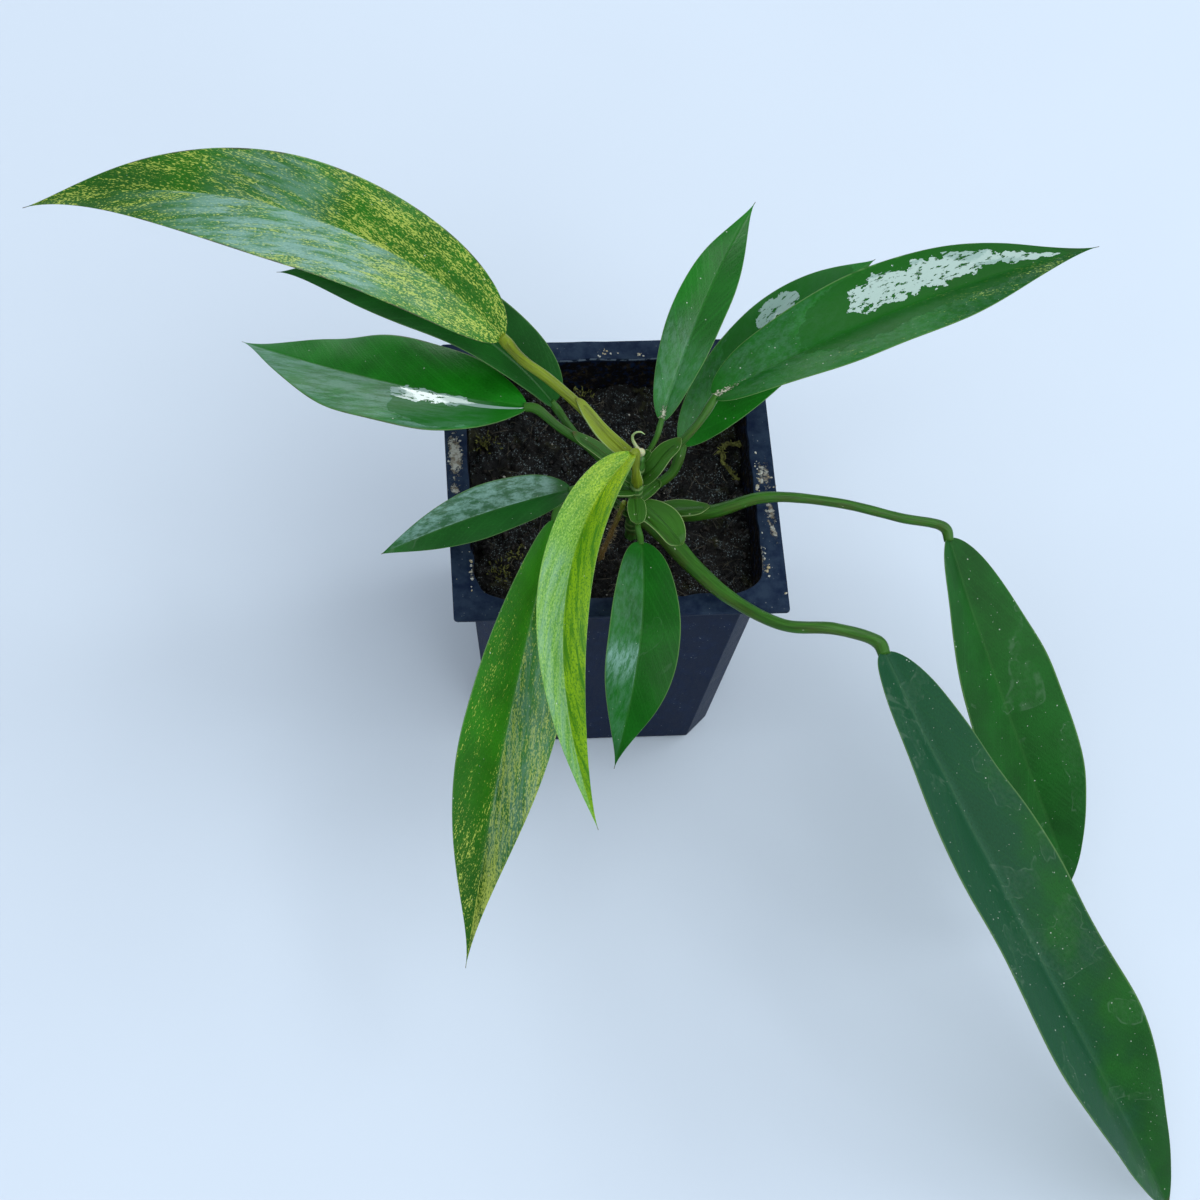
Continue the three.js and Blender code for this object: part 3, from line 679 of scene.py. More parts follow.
def rgba(colour):
    """A colour with full alpha."""
    return (*tuple(colour)[:3], 1.0)


def shade(colour, factor, added=0.0):
    """A colour times a factor, with the same amount added to all of it."""
    return tuple(c * factor + added for c in colour)


def blend(a, b, share):
    """The colour that lies a share of the way from a to b."""
    return tuple(lerp(np.array(a), np.array(b), share))


def math_node(operation, reflected=False):
    """A method that adds a Math node. The reflected form puts the value second."""
    def method(self, *others):
        inputs = (*others, self) if reflected else (self, *others)
        made = self.finish.node("ShaderNodeMath", {"operation": operation}, dict(enumerate(inputs)))
        return Value(self.finish, made.outputs[0])
    return method


class Value:
    """A number, colour or vector that varies over the surface. An expression on numbers adds its
    Math nodes."""

    def __init__(self, finish, socket):
        self.finish = finish
        self.socket = socket

    __add__ = __radd__ = math_node("ADD")
    __sub__ = math_node("SUBTRACT")
    __rsub__ = math_node("SUBTRACT", reflected=True)
    __mul__ = __rmul__ = math_node("MULTIPLY")
    __pow__ = math_node("POWER")
    __rpow__ = math_node("POWER", reflected=True)
    __abs__ = math_node("ABSOLUTE")
    sign = math_node("SIGN")
    above = math_node("GREATER_THAN")
    most = math_node("MAXIMUM")

    def rise(self, low, high):
        """0 at low and 1 at high, smoothly. low above high turns it round."""
        sockets = {"Value": self, "From Min": low, "From Max": high}
        made = self.finish.node("ShaderNodeMapRange", {"interpolation_type": "SMOOTHSTEP"}, sockets)
        return Value(self.finish, made.outputs[0])


class Finish:
    """A material under construction, with its colour so far in base."""

    def __init__(self, name, base=None):
        self.base = base
        self.material = bpy.data.materials.new(name)
        self.material.use_nodes = True
        self.tree = self.material.node_tree
        self.tree.nodes.clear()

    def node(self, kind, options=None, sockets=None):
        """Adds a node: its settings first, then what its sockets hold or are linked to."""
        made = self.tree.nodes.new(kind)
        for name, value in (options or {}).items():
            setattr(made, name, value)
        for name, value in (sockets or {}).items():
            if isinstance(value, Value):
                self.tree.links.new(value.socket, made.inputs[name])
            else:
                made.inputs[name].default_value = value
        return made

    def attribute(self, name):
        """The numbers that put_mesh stored under a name."""
        return Value(self, self.node("ShaderNodeAttribute", {"attribute_name": name}).outputs["Fac"])

    def place(self):
        """The point on the object, in millimetres."""
        sockets = {"Vector": Value(self, self.node("ShaderNodeTexCoord").outputs["Object"]), "Scale": 1 / MM}
        return Value(self, self.node("ShaderNodeVectorMath", {"operation": "SCALE"}, sockets).outputs[0])

    def axes(self, vector):
        """The x, y and z of a vector."""
        made = self.node("ShaderNodeSeparateXYZ", None, {"Vector": vector})
        return [Value(self, made.outputs[axis]) for axis in range(3)]

    def vector(self, x, y, z=0.0):
        return Value(self, self.node("ShaderNodeCombineXYZ", None, {"X": x, "Y": y, "Z": z}).outputs[0])

    def noise(self, where, scale=1.0, detail=2.0, roughness=0.5, distortion=0.0):
        """Cloudy noise of 0 to 1 at a vector, or at one made of three values."""
        sockets = {
            "Vector": self.vector(*where) if isinstance(where, tuple) else where, "Scale": scale,
            "Detail": detail, "Roughness": roughness, "Distortion": distortion,
        }
        return Value(self, self.node("ShaderNodeTexNoise", None, sockets).outputs[0])

    def specks(self, vector, scale, radius, share):
        """Round specks: 1 within radius of a share of the scattered points."""
        made = self.node("ShaderNodeTexVoronoi", {"feature": "F1"}, {"Vector": vector, "Scale": scale})
        distance = Value(self, made.outputs["Distance"])
        chance = self.axes(Value(self, made.outputs["Color"]))[0]
        return distance.rise(radius, radius * 0.55) * chance.above(1 - share)

    def mix(self, a, b, share):
        """The colour a, turned into b by share."""
        ends = [c if isinstance(c, Value) else rgba(c) for c in (a, b)]
        options = {"data_type": "RGBA", "clamp_factor": True}
        made = self.node("ShaderNodeMix", options, {0: share, 6: ends[0], 7: ends[1]})
        return Value(self, made.outputs[2])

    def paint(self, *layers):
        """Lays colours over the base in turn, each as thick as its share."""
        for layer, share in layers:
            self.base = self.mix(self.base, layer, share)

    def close(self, roughness, height=None, depth=0.0, **others):
        """Ends the material with one shader. height, about 0 to 1, stands for a relief of depth in
        millimetres. The shader's other sockets go by their names, with _ for a space."""
        sockets = {"Base Color": self.base, "Roughness": roughness}
        if height is not None:
            relief = {"Height": height, "Distance": depth * MM, "Strength": 1.0}
            sockets["Normal"] = Value(self, self.node("ShaderNodeBump", None, relief).outputs[0])
        sockets.update({name.replace("_", " "): value for name, value in others.items()})
        shader = self.node("ShaderNodeBsdfPrincipled", None, sockets)
        self.node("ShaderNodeOutputMaterial", None, {"Surface": Value(self, shader.outputs[0])})
        return self


# Pot


def square_ring(side, corner, bulge, z):
    """A square with shaped corners. Over a corner's angle a from 0 to 90 degrees the point lies
    corner * (1 - cos(a)^(2/bulge)) and corner * (1 - sin(a)^(2/bulge)) inside the two sides, so
    bulge 1 is a straight cut and 2 a round. Sides are spaced closer towards their ends."""
    half = side / 2
    a = np.linspace(0, np.pi / 2, 13)
    t = (1 - np.cos(np.linspace(0, np.pi, 46)[1:-1])) / 2
    power = 2 / bulge
    x = np.concatenate([half - corner * (1 - np.cos(a) ** power), lerp(half - corner, corner - half, t)])
    y = np.concatenate([half - corner * (1 - np.sin(a) ** power), np.full(len(t), half)])
    quarters = [(x, y), (-y, x), (-x, -y), (y, -x)]
    flat = np.concatenate([np.stack(quarter, 1) for quarter in quarters])
    return np.column_stack([flat, np.full(len(flat), z)])


def body_side(z):
    """Side of the pot's outer body: it widens evenly from the foot to the underside of the rim."""
    top = RIM_SIDE - 2 * RIM_WIDTH + 2 * WALL
    return lerp(FOOT_SIDE, top, z / (POT_HEIGHT - RIM_THICKNESS))


def drawn(row, other, radius):
    """The row moved by radius towards another, in side and height, but not past half the way."""
    distance = np.linalg.norm((row - other)[[0, 3]])
    return lerp(row, other, min(radius, distance / 2.2) / max(distance, 1e-9))


def rounded(rows, radius):
    """A profile whose corners are rounded: each row between the ends becomes five on the parabola
    that starts and ends radius away from it, towards its neighbours."""
    rows = np.asarray(rows, float)
    t = np.linspace(0, 1, 5)[:, None]
    made = [rows[:1]]
    for before, row, after in zip(rows, rows[1:], rows[2:]):
        start, end = drawn(row, before, radius), drawn(row, after, radius)
        made.append((1 - t) ** 2 * start + 2 * t * (1 - t) * row + t**2 * end)
    return np.vstack([*made, rows[-1:]])


def softened(ring, passes):
    """The ring after each point has moved to the mean of itself, twice, and its neighbours, passes
    times, with its height kept."""
    flat = ring[:, :2].copy()
    for _ in range(passes):
        flat = (np.roll(flat, 1, 0) + 2 * flat + np.roll(flat, -1, 0)) / 4
    return np.column_stack([flat, ring[:, 2]])


def divided(rows, longest):
    """The profile with rows added evenly so that none is further than longest from the next."""
    made = [rows[:1]]
    for row, after in zip(rows, rows[1:]):
        parts = max(1, int(np.ceil(np.linalg.norm((after - row)[[0, 3]] * [0.5, 1]) / longest)))
        made.append(lerp(row, after, (np.arange(1, parts + 1) / parts)[:, None]))
    return np.vstack(made)


def crust_depth(points):
    """How thick crust lies: the largest, over the patches, of a bell exp(-d^2) times its depth,
    d being the distance from its centre in half sizes."""
    depth = np.zeros(len(points))
    for centre, half, thick in CRUSTS:
        d = ((points[:, :2] - centre) / half) ** 2
        depth = np.maximum(depth, thick * np.exp(-d.sum(1)))
    return depth * smooth(points[:, 2], POT_HEIGHT - 1.4, POT_HEIGHT - 0.5)


def pot_shape(wave):
    """Rings from the foot up the outside, over the rim and down the inside to the floor. Near the
    rim a ripple lifts or pushes them a little out of true."""
    under_rim = POT_HEIGHT - RIM_THICKNESS
    under_lip = under_rim - LIP_HEIGHT
    opening = RIM_SIDE - 2 * RIM_WIDTH
    inner_chamfer = CHAMFER - 0.6 * WALL
    foot_edge, rim_corner = 0.6, 0.6
    rows = [
        (FOOT_SIDE - 2 * foot_edge, CHAMFER, 1, 0.0),
        (body_side(foot_edge), CHAMFER, 1, foot_edge),
        (body_side(under_rim), CHAMFER, 1, under_rim),
        (RIM_SIDE, rim_corner, 2, under_rim),
        (RIM_SIDE, rim_corner, 2, POT_HEIGHT),
        (opening, OPENING_CORNER, 2, POT_HEIGHT),
        (opening, OPENING_CORNER, 2, under_rim),
        (body_side(under_lip) - 2 * WALL, inner_chamfer, 1, under_lip),
        (body_side(FLOOR) - 2 * WALL, inner_chamfer, 1, FLOOR),
    ]
    rows = divided(rounded(rows, EDGE_RADIUS), LONGEST_STEP)
    rings = np.array([softened(square_ring(*row), 2) for row in rows])
    near_rim = smooth(rings[..., 2], under_lip - 4, POT_HEIGHT)
    inside = smooth(np.abs(rings[..., :2]).max(-1), opening / 2 + 1.5, opening / 2)
    field = ripple(rings[..., :2], 13, 3) + 0.5 * ripple(rings[..., :2], 5, 4)
    rings[..., 2] -= wave * near_rim * (0.35 + 0.65 * inside) * (1 + field)
    push = wave * 1.2 * near_rim * inside * ripple(rings[..., :2], 6, 5)
    rings[..., :2] *= 1 + (push / (opening / 2))[..., None]
    return rings


def drain_cutter():
    """Four upright rods through the floor."""
    x, y = circle(24)
    rod = np.array([stacked(x * DRAIN_RADIUS, y * DRAIN_RADIUS, z) for z in (-1.0, FLOOR + 1)])
    offsets = np.array([(x, y, 0.0) for x in (-1, 1) for y in (-1, 1)]) * DRAIN_OFFSET
    return scattered(loft(rod), offsets, np.repeat(np.eye(3)[None], 4, 0), np.ones((4, 3)))


def cut(obj, cutter):
    """Takes cutter out of obj with a Boolean modifier, applies it and removes the cutter."""
    modifier = obj.modifiers.new("cut", "BOOLEAN")
    modifier.operation, modifier.solver, modifier.object = "DIFFERENCE", "EXACT", cutter
    evaluated = obj.evaluated_get(bpy.context.evaluated_depsgraph_get())
    mesh = bpy.data.meshes.new_from_object(evaluated)
    obj.modifiers.clear()
    obj.data = mesh
    bpy.data.objects.remove(cutter)


def pot_finish(colours):
    """Dark moulded plastic with scuffs, a dull layer of dust, a rim top made lighter by dust and
    painted sheen, a painted highlight along the back of the inner lip, white crust on the rim and peat
    that clings to the inside, where painted shade darkens the wall as well."""
    f = Finish("pot_plastic", colours.plastic)
    place = f.place()
    x, y, z = f.axes(place)
    dust = f.noise(place, 0.35, 4, 0.65)
    grain = f.noise(place, 5.5, 3, 0.6)
    scuffs = f.noise((x * 2.2, y * 2.2, z * 0.22), 1.0, 4, 0.7)
    specks = f.specks(place, 1.1, 0.15, 0.2).most(f.specks(place, 2.6, 0.2, 0.16))
    crust = f.attribute("crust")
    broken = (crust + (f.noise(place, 1.7, 5, 0.75) - 0.5) * 1.5).rise(0.50, 0.62) * crust.rise(0.02, 0.2)
    flange = z.rise(POT_HEIGHT - 1.2, POT_HEIGHT - 0.4)
    lip = f.attribute("lip") * f.noise(place, 0.8, 3).rise(0.4, 0.5) * y.rise(10.0, 24.0)
    inner = f.attribute("inner") * z.rise(POT_HEIGHT - 0.3, POT_HEIGHT - 1.5)
    clinging_and_shade = inner * f.noise(place, 0.9, 4, 0.7).rise(0.36, 0.5)
    dried = f.noise(place, 0.7, 5, 0.75).rise(0.5, 0.68)
    tanned = f.noise(place, 1.1, 4, 0.7).rise(0.42, 0.6)
    f.paint(
        (shade(colours.plastic, 1.8, 0.003), dust.rise(0.42, 0.75) * 0.6 + scuffs.rise(0.55, 0.8) * 0.5),
        # The top of the rim is lighter, partly dust and partly painted sheen.
        (RIM_DUST_AND_SHEEN, flange * dust.rise(0.25, 0.7)),
        (POT_SPECK, specks * dust.rise(0.45, 0.6) * 0.8),
        # A painted highlight along the back of the inner lip.
        (LIP_HIGHLIGHT, lip * 0.9),
        # Peat clinging to the inner wall, which also darkens it as painted shade.
        (f.mix(WET_DIRT_AND_SHADE, DRY_DIRT, dried), clinging_and_shade),
        (f.mix(colours.crust, TANNED_CRUST, tanned), broken),
    )
    rough = 0.3 + dust * 0.22 + scuffs.rise(0.5, 0.8) * 0.16
    height = grain * 0.16 + scuffs * 0.16 + broken * f.noise(place, 4.0, 4, 0.7) * 2.0
    return f.close(rough.most(broken * 0.9).most(clinging_and_shade * 0.75), height, depth=0.12, IOR=1.13)


def crust_grains(per_area, seed):
    """Grains of dried minerals lying on the rim inside the patches, thinner towards their edges."""
    rng = np.random.default_rng(seed)
    places, sizes = [], []
    for centre, half, thick in CRUSTS:
        grains = int(half[0] * half[1] * 4 * per_area * thick)
        spot = np.array(centre) + rng.normal(size=(grains, 2)) * np.array(half) * 0.55
        outer = np.abs(spot).max(1)
        spot = spot[(outer < RIM_SIDE / 2 - 0.25) & (outer > RIM_SIDE / 2 - RIM_WIDTH + 0.3)]
        places.append(np.column_stack([spot, np.full(len(spot), POT_HEIGHT - 0.21)]))
        sizes.append(rng.gamma(3.0, 0.035, len(spot)) + 0.05)
    places, sizes = np.vstack(places), np.concatenate(sizes)
    stretch = np.column_stack([sizes, sizes * rng.uniform(0.6, 1.4, len(sizes)), sizes * 0.45])
    points, faces = scattered(lump(seed), places, upright_axes(rng, len(places), 0.15), stretch)
    points[:, 2] = np.minimum(points[:, 2], POT_HEIGHT - 0.005)
    return points, faces


def crust_finish(colours):
    """Chalky grains from tan to white."""
    f = Finish("mineral_crust", colours.crust)
    place = f.place()
    f.paint(
        (TAN_GRAIN, f.noise(place, 0.7, 3).rise(0.45, 0.62)),
        (WHITE_GRAIN, f.noise(place, 3.0, 2).rise(0.55, 0.7)),
    )
    return f.close(0.85, f.noise(place, 9.0, 3), depth=0.08)


# Peat


def soil_height(x, y):
    """Height of the peat: slow mounds, a dip at the wall that grows with the sixth power of the
    share of the way to it, heaps that cling to it here and there, a swell round the stem, and crumbs
    as folded ripples of four sizes."""
    half = (body_side(SOIL_LEVEL) - 2 * WALL) / 2
    share = np.minimum(np.maximum(np.abs(x), np.abs(y)) / half, 1)
    mounds = (
        np.sin(0.42 * x + 0.8) * np.cos(0.36 * y - 0.5)
        + 0.6 * np.sin(0.95 * x - 0.7 * y + 1.9)
        + 0.4 * np.cos(1.3 * x + 1.1 * y)
    )
    swell = 0.9 * np.exp(-((x - STEM_FOOT[0]) ** 2 + (y - STEM_FOOT[1]) ** 2) / 18)
    flat = np.stack([x, y], -1)
    crumbs = sum(
        depth * (np.abs(ripple(flat, size, 20 + n, 14)) - 0.5)
        for n, (size, depth) in enumerate([(6.0, 0.8), (3.1, 0.6), (1.7, 0.42), (0.95, 0.26)])
    )
    heaped = 2.4 * share**9 * smooth(ripple(flat, 9.0, 41), -0.5, 0.7)
    return SOIL_LEVEL + 0.5 * SOIL_RELIEF * mounds + swell + crumbs + heaped - SOIL_EDGE_DIP * share**6


def on_soil(flat, lift=0.0):
    """Points of the plane raised to lift above the peat."""
    return np.column_stack([flat, soil_height(flat[:, 0], flat[:, 1]) + lift])


def soil_shape(cells=170):
    """The top is a square grid in which what lies past a corner's cut is drawn back to it. Its edge
    runs down the wall to a flat bottom, which is closed by a fan."""
    half = body_side(SOIL_LEVEL) / 2 - WALL - 0.05
    steps = np.linspace(-half, half, cells + 1)
    flat = np.stack([a.ravel() for a in np.meshgrid(steps, steps)], 1)
    reach = np.abs(flat).sum(1)
    limit = 2 * half - CHAMFER
    top = on_soil(flat * np.where(reach > limit, limit / np.maximum(reach, 1e-9), 1)[:, None])
    n = cells + 1
    index = np.arange(n * n).reshape(n, n)
    edge = np.concatenate([index[0, :-1], index[:-1, -1], index[-1, :0:-1], index[:0:-1, 0]])
    bottom = top[edge].copy()
    bottom[:, :2] *= (body_side(FLOOR + GAP) / 2 - WALL - GAP) / half
    bottom[:, 2] = FLOOR + GAP
    points = np.vstack([top, bottom, bottom.mean(0)])
    low = n * n + np.arange(len(edge))
    skirt = np.stack([edge, low, np.roll(low, -1), np.roll(edge, -1)], 1)
    fan = np.stack([low, np.full(len(low), len(points) - 1), np.roll(low, -1)], 1)
    return points, facing_out(points, [grid_quads(n, n, False), skirt, fan])


def peat_finish(colours):
    """Wet black peat with brown fibres, dull green algae and damp glints."""
    f = Finish("peat", colours.dark)
    place = f.place()
    x, y, z = f.axes(place)
    dried = f.noise(place, 0.16, 4, 0.6)
    fine = f.noise(place, 1.9, 5, 0.7)
    wetter = f.noise(place, 0.4, 4, 0.65)
    threads = f.noise((x * 2.6, y * 0.5, z), 1.0, 4, 0.7)
    threads = threads.most(f.noise((x * 0.45, y * 2.4, z + 9), 1.0, 4, 0.7))
    glint = f.specks(place, 1.9, 0.3, 0.5).most(f.specks(place, 3.4, 0.4, 0.6) * 0.8)
    f.paint(
        (colours.brown, dried.rise(0.42, 0.68) * 0.7 + threads.rise(0.62, 0.74) * 0.6),
        (shade(colours.fibre, 0.5), fine.rise(0.6, 0.72) * 0.7),
        (shade(colours.moss, 0.35), f.noise(place, 0.21, 3).rise(0.56, 0.66) * 0.5),
        (shade(colours.dark, 0.3), wetter.rise(0.5, 0.4) * 0.8),
        (GLINT, glint * wetter.rise(0.44, 0.56) * 0.9),
    )
    rough = 0.34 + fine.rise(0.4, 0.7) * 0.35 + dried.rise(0.4, 0.6) * 0.2
    return f.close(rough, fine * 0.8 + threads * 0.5 + f.noise(place, 6.0, 3) * 0.3, depth=0.4, IOR=1.3)


def litter_finish(name, first, second, size, roughness):
    """Bits of two colours, each bit nearly of one."""
    f = Finish(name, first)
    place = f.place()
    f.paint((second, f.noise(place, size, 3, 0.6).rise(0.38, 0.62)))
    return f.close(roughness, f.noise(place, 5.0, 3), depth=0.1, IOR=1.33)


def on_peat(rng, spots, spare=0.6):
    """Random points of the peat's surface, away from the wall by at least spare."""
    half = body_side(SOIL_LEVEL) / 2 - WALL - spare
    flat = rng.uniform(-half, half, (spots, 2))
    return on_soil(flat[np.abs(flat).sum(1) < 2 * half - CHAMFER])


def crumb_shapes(rng, crumbs, low, high, seed):
    """Grains of random size, a little less than half sunk into the peat."""
    places = on_peat(rng, crumbs)
    sizes = low + (high - low) * rng.uniform(0, 1, len(places)) ** 3
    stretch = sizes[:, None] * rng.uniform(0.5, 1.2, (len(places), 3))
    places[:, 2] += sizes * 0.15
    return scattered(lump(seed), places, random_axes(rng, len(places)), stretch)


def fibre_shapes(rng, fibres):
    """Fibres lying on the peat, bowed a little up and to a side."""
    middle = on_peat(rng, fibres, 2.2)
    fibres = len(middle)
    heading = rng.uniform(0, 360, fibres)
    half = rng.gamma(2.0, 0.45, fibres).clip(0.3, 2.4)[:, None]
    half = half * direction(heading, rng.normal(0, 9, fibres))
    starts, ends = middle - half, middle + half
    for tip in (starts, ends):
        tip[:, 2] = np.maximum(tip[:, 2], soil_height(tip[:, 0], tip[:, 1]) + 0.02)
    bows = rng.normal(size=(fibres, 3)) * 0.35
    bows[:, 2] = np.abs(bows[:, 2]) + 0.05
    return strands(starts, ends, bows, rng.uniform(0.02, 0.06, fibres))


def moss_shapes(rng):
    """Pointed leaflets standing in patches and along creeping strands."""
    feet, outs = [], []
    for centre, radius, tufts in MOSS:
        spot = np.array(centre) + rng.normal(size=(tufts, 2)) * radius * 0.55
        feet.append(on_soil(spot, -0.05))
        lean = np.column_stack([(spot - centre) / radius * 0.6, np.ones(tufts)])
        outs.append(unit(lean + rng.normal(size=(tufts, 3)) * 0.45) * rng.uniform(0.4, 1.0, (tufts, 1)))
    for strand in MOSS_STRANDS:
        path, _ = spline(on_soil(np.array(strand), 0.5), 70)
        feet.append(path + rng.normal(size=path.shape) * 0.1)
        outs.append(unit(rng.normal(size=path.shape) + [0, 0, 0.5]) * rng.uniform(0.4, 0.95, (len(path), 1)))
    feet, outs = np.vstack(feet), np.vstack(outs)
    bows = rng.normal(size=feet.shape) * 0.12
    return strands(feet, feet + outs, bows, rng.uniform(0.07, 0.15, len(feet)), 5, 4)


def strand_core(strand):
    """A creeping stem of the moss: a knotted tube."""
    path, _ = spline(on_soil(np.array(strand), 0.42), 48)
    path += ripples(path, 1.5, (1, 2, 3)) * 0.16
    thick = 0.3 + 0.1 * ripple(path, 0.9, 5)
    thick[[0, -1]] *= 0.4
    return loft(tube_rings(path, thick, 8, np.array([0, 0, 1.0])))


# Stem, root and shoot


def stem_shape(rows=240, columns=44):
    """An upright rod that narrows evenly. Its radius is 0.18 mm less between the leaf scars than on
    them, has a fine groove in the middle of each, and ripples along the fibres."""
    share = np.linspace(0, 1, rows)
    heights = lerp(STEM_FOOT[2], STEM_TOP[2], share)
    scars = np.array([leaf["join"][1] - SCAR_BELOW_JOIN for leaf in LEAVES])
    nearest = np.abs(heights[:, None] - scars).min(1)
    x, y = circle(columns)
    radius = lerp(STEM_FOOT_RADIUS, STEM_TOP_RADIUS, share) - 0.18 * smooth(nearest, 0.3, 1.2)
    wall = stacked(x * 3, y * 3, heights[:, None])
    groove = 0.05 * smooth(nearest, 0.12, 0.0)[:, None]
    radii = radius[:, None] + 0.03 * ripple(wall * [1, 1, 0.25], 1.6, 8) - groove
    radii = radii * (smooth(share, 1.0, 0.985)[:, None] * 0.6 + 0.4)
    rings = lerp(STEM_FOOT, STEM_TOP, share[:, None])[:, None] + stacked(x * radii, y * radii, 0.0)
    return rings, smooth(nearest, 0.35, 0.05)[:, None]


def stem_finish(colours):
    """Green bark with pale rings of old scars and brown corky streaks."""
    f = Finish("stem_bark", shade(colours.green, 0.8))
    place = f.place()
    x, y, z = f.axes(place)
    streaks = f.noise((x * 2.5, y * 2.5, z * 0.5), 1.0, 4, 0.65)
    f.paint(
        (shade(colours.green, 1.9), streaks.rise(0.4, 0.7)),
        (colours.blush, f.noise(place, 0.7, 3).rise(0.55, 0.7) * 0.5),
        (colours.pale, f.attribute("scar") * 0.55),
    )
    return f.close(0.42 + streaks * 0.2, streaks + f.noise(place, 5.0, 3) * 0.4, depth=0.12)


def root_shape():
    """A tube along the root's path with soft knots. Gives its rings, its line and their radii."""
    line, _ = spline(ROOT_PATH, 110)
    share = np.linspace(0, 1, len(line))
    line = line + ripples(line, 3.0, (11, 12, 13)) * 0.06
    radii = ROOT_RADIUS * (0.93 + 0.1 * np.sin(31 * share)) + 0.03 * ripple(line, 1.1, 6)
    return tube_rings(line, radii, 20, np.array([0, 1.0, 0])), line, radii


def root_hairs(line, radii, hairs, seed):
    """Fine hairs standing out of the root, each a thin tapering strand."""
    rng = np.random.default_rng(seed)
    row = rng.integers(8, int(len(line) * 0.82), hairs)
    side, up = frames(line, np.array([0, 1.0, 0]))
    turn = rng.uniform(0, 2 * np.pi, (hairs, 1))
    out = side[row] * np.cos(turn) + up[row] * np.sin(turn)
    starts = line[row] + out * (radii[row] * 0.9)[:, None]
    tips = starts + unit(out + rng.normal(size=(hairs, 3)) * 0.35) * rng.uniform(0.35, 0.85, (hairs, 1))
    return strands(starts, tips, rng.normal(size=(hairs, 3)) * 0.06, np.full(hairs, 0.022), 4, 3)


def shoot_shape():
    """The bud swells as sin(pi (0.18 + 0.82 t / its length)) and is drawn out into a thread."""
    line, _ = spline(SHOOT_PATH, 150)
    share = np.linspace(0, 1, len(line))
    bud = np.where(share < BUD_LENGTH, np.sin(np.pi * (0.18 + 0.82 * share / BUD_LENGTH)), 0)
    thread = THREAD_RADIUS * (1 - 0.55 * smooth(share, BUD_LENGTH, 1.0)) * smooth(share, 0.1, 0.3)
    radii = np.hypot(thread, BUD_RADIUS * np.clip(bud, 0, 1)) * np.sqrt(1 - share**12 * 0.9)
    return tube_rings(line, np.maximum(radii, 0.06), 20, np.array([0, 1.0, 0]))


def growth_finish(name, first, second, start, end, size):
    """Young tissue: first turns into second between start and end, with fine mottling."""
    f = Finish(name, first)
    place = f.place()
    f.paint(
        (second, f.attribute("along").rise(start, end)),
        (shade(second, 0.55), f.noise(place, size, 3, 0.6).rise(0.5, 0.72) * 0.6),
    )
    soft = dict(Subsurface_Weight=0.15, Subsurface_Scale=0.5 * MM)
    return f.close(0.45, f.noise(place, 4.0, 3), depth=0.08, **soft)


# Stalks


def stem_surface(heading, height):
    """Where a stalk starts: a little inside the stem's wall, at its join's heading and height."""
    t = (height - STEM_FOOT[2]) / (STEM_TOP[2] - STEM_FOOT[2])
    clear = lerp(STEM_FOOT_RADIUS, STEM_TOP_RADIUS, t) - 0.35
    return lerp(STEM_FOOT, STEM_TOP, t) + direction(heading, 0) * clear


def stalk_line(leaf, rows=150):
    """The curve that a stalk follows from the stem into its blade, with its side and up directions,
    its length and its radius, which narrows from the stem and swells a little into a knee."""
    heading, height = leaf["join"]
    aim = direction(leaf["heading"], leaf["pitch"])
    foot = np.array(leaf["foot"], float)
    neck = leaf.get("neck", 1.4)
    bend = [foot - aim * (GAP + neck)] if neck else []
    line, reach = spline([stem_surface(heading, height), *leaf["over"], *bend, foot + aim * 0.5], rows)
    t = np.linspace(0, 1, rows)
    radius = lerp(leaf.get("base_radius", leaf["radius"]), leaf["radius"], smooth(t, 0, 0.6))
    knee = 1 + 0.16 * np.exp(-(((1 - t) * reach - 2.0) / 1.5) ** 2)
    radius = radius * knee * (1 + 0.02 * ripple(line, 4.0, len(leaf["name"])))
    side, up = frames(line, direction(leaf.get("facing", heading) + 90, 0))
    return t, line, side, up, reach, radius


def stalk_shape(leaf, columns=36):
    """A round rod along the stalk's line."""
    t, line, side, up, reach, radius = stalk_line(leaf)
    x, y = circle(columns)
    rings = carried(line, side, up, x * radius[:, None], y * radius[:, None])
    knee = smooth((1 - t) * reach, 3.2, 1.2)[:, None]
    return rings, marks(rings, reach=(t * reach)[:, None], aside=x, above=y, sheath=0.0, knee=knee)


def sheath_shape(leaf, rows=70, columns=48):
    """An open trough that lies on the stalk from the stem to its sheath's end. With q the share of
    the way there, its half width is the greatest times sqrt(1 - ((q - 0.42)/0.6)^2), its ends are
    rounded off, its edges rise by 0.14 of it times x^2, and its underside is half an ellipse."""
    t, line, side, up, reach, radius = stalk_line(leaf)
    half_wide, half_deep, end = leaf["sheath"]
    q = (1 - np.cos(np.linspace(0, np.pi, rows))) / 2
    there = q * end * 1.04
    line, side, up = (picked(there, t, a) for a in (line, side, up))
    radius = np.interp(there, t, radius)
    ends = np.clip(1 - ((q - 0.5) / 0.5) ** 12, 0, 1)
    profile = np.sqrt(np.clip(1 - ((q - 0.42) / 0.6) ** 2, 0, 1) * ends)
    wide = np.maximum(half_wide * profile, 0.05)[:, None]
    x, y = circle(columns)
    flat = y * np.where(y > 0, 0.1, (0.75 * half_deep * profile)[:, None])
    lift = 0.14 * wide * x**2 + flat + (radius * 0.62 + 0.5 * smooth(q, 0.8, 1.0))[:, None]
    over = wide * x + leaf.get("shift", 0) * np.sin(np.pi * np.clip(q, 0.1, 0.9))[:, None]
    rings = carried(line, side, up, over, lift)
    knee = smooth(q, 0.9, 1.0)[:, None]
    return rings, marks(rings, reach=(there * reach)[:, None], aside=x, above=y, sheath=1.0, knee=knee)


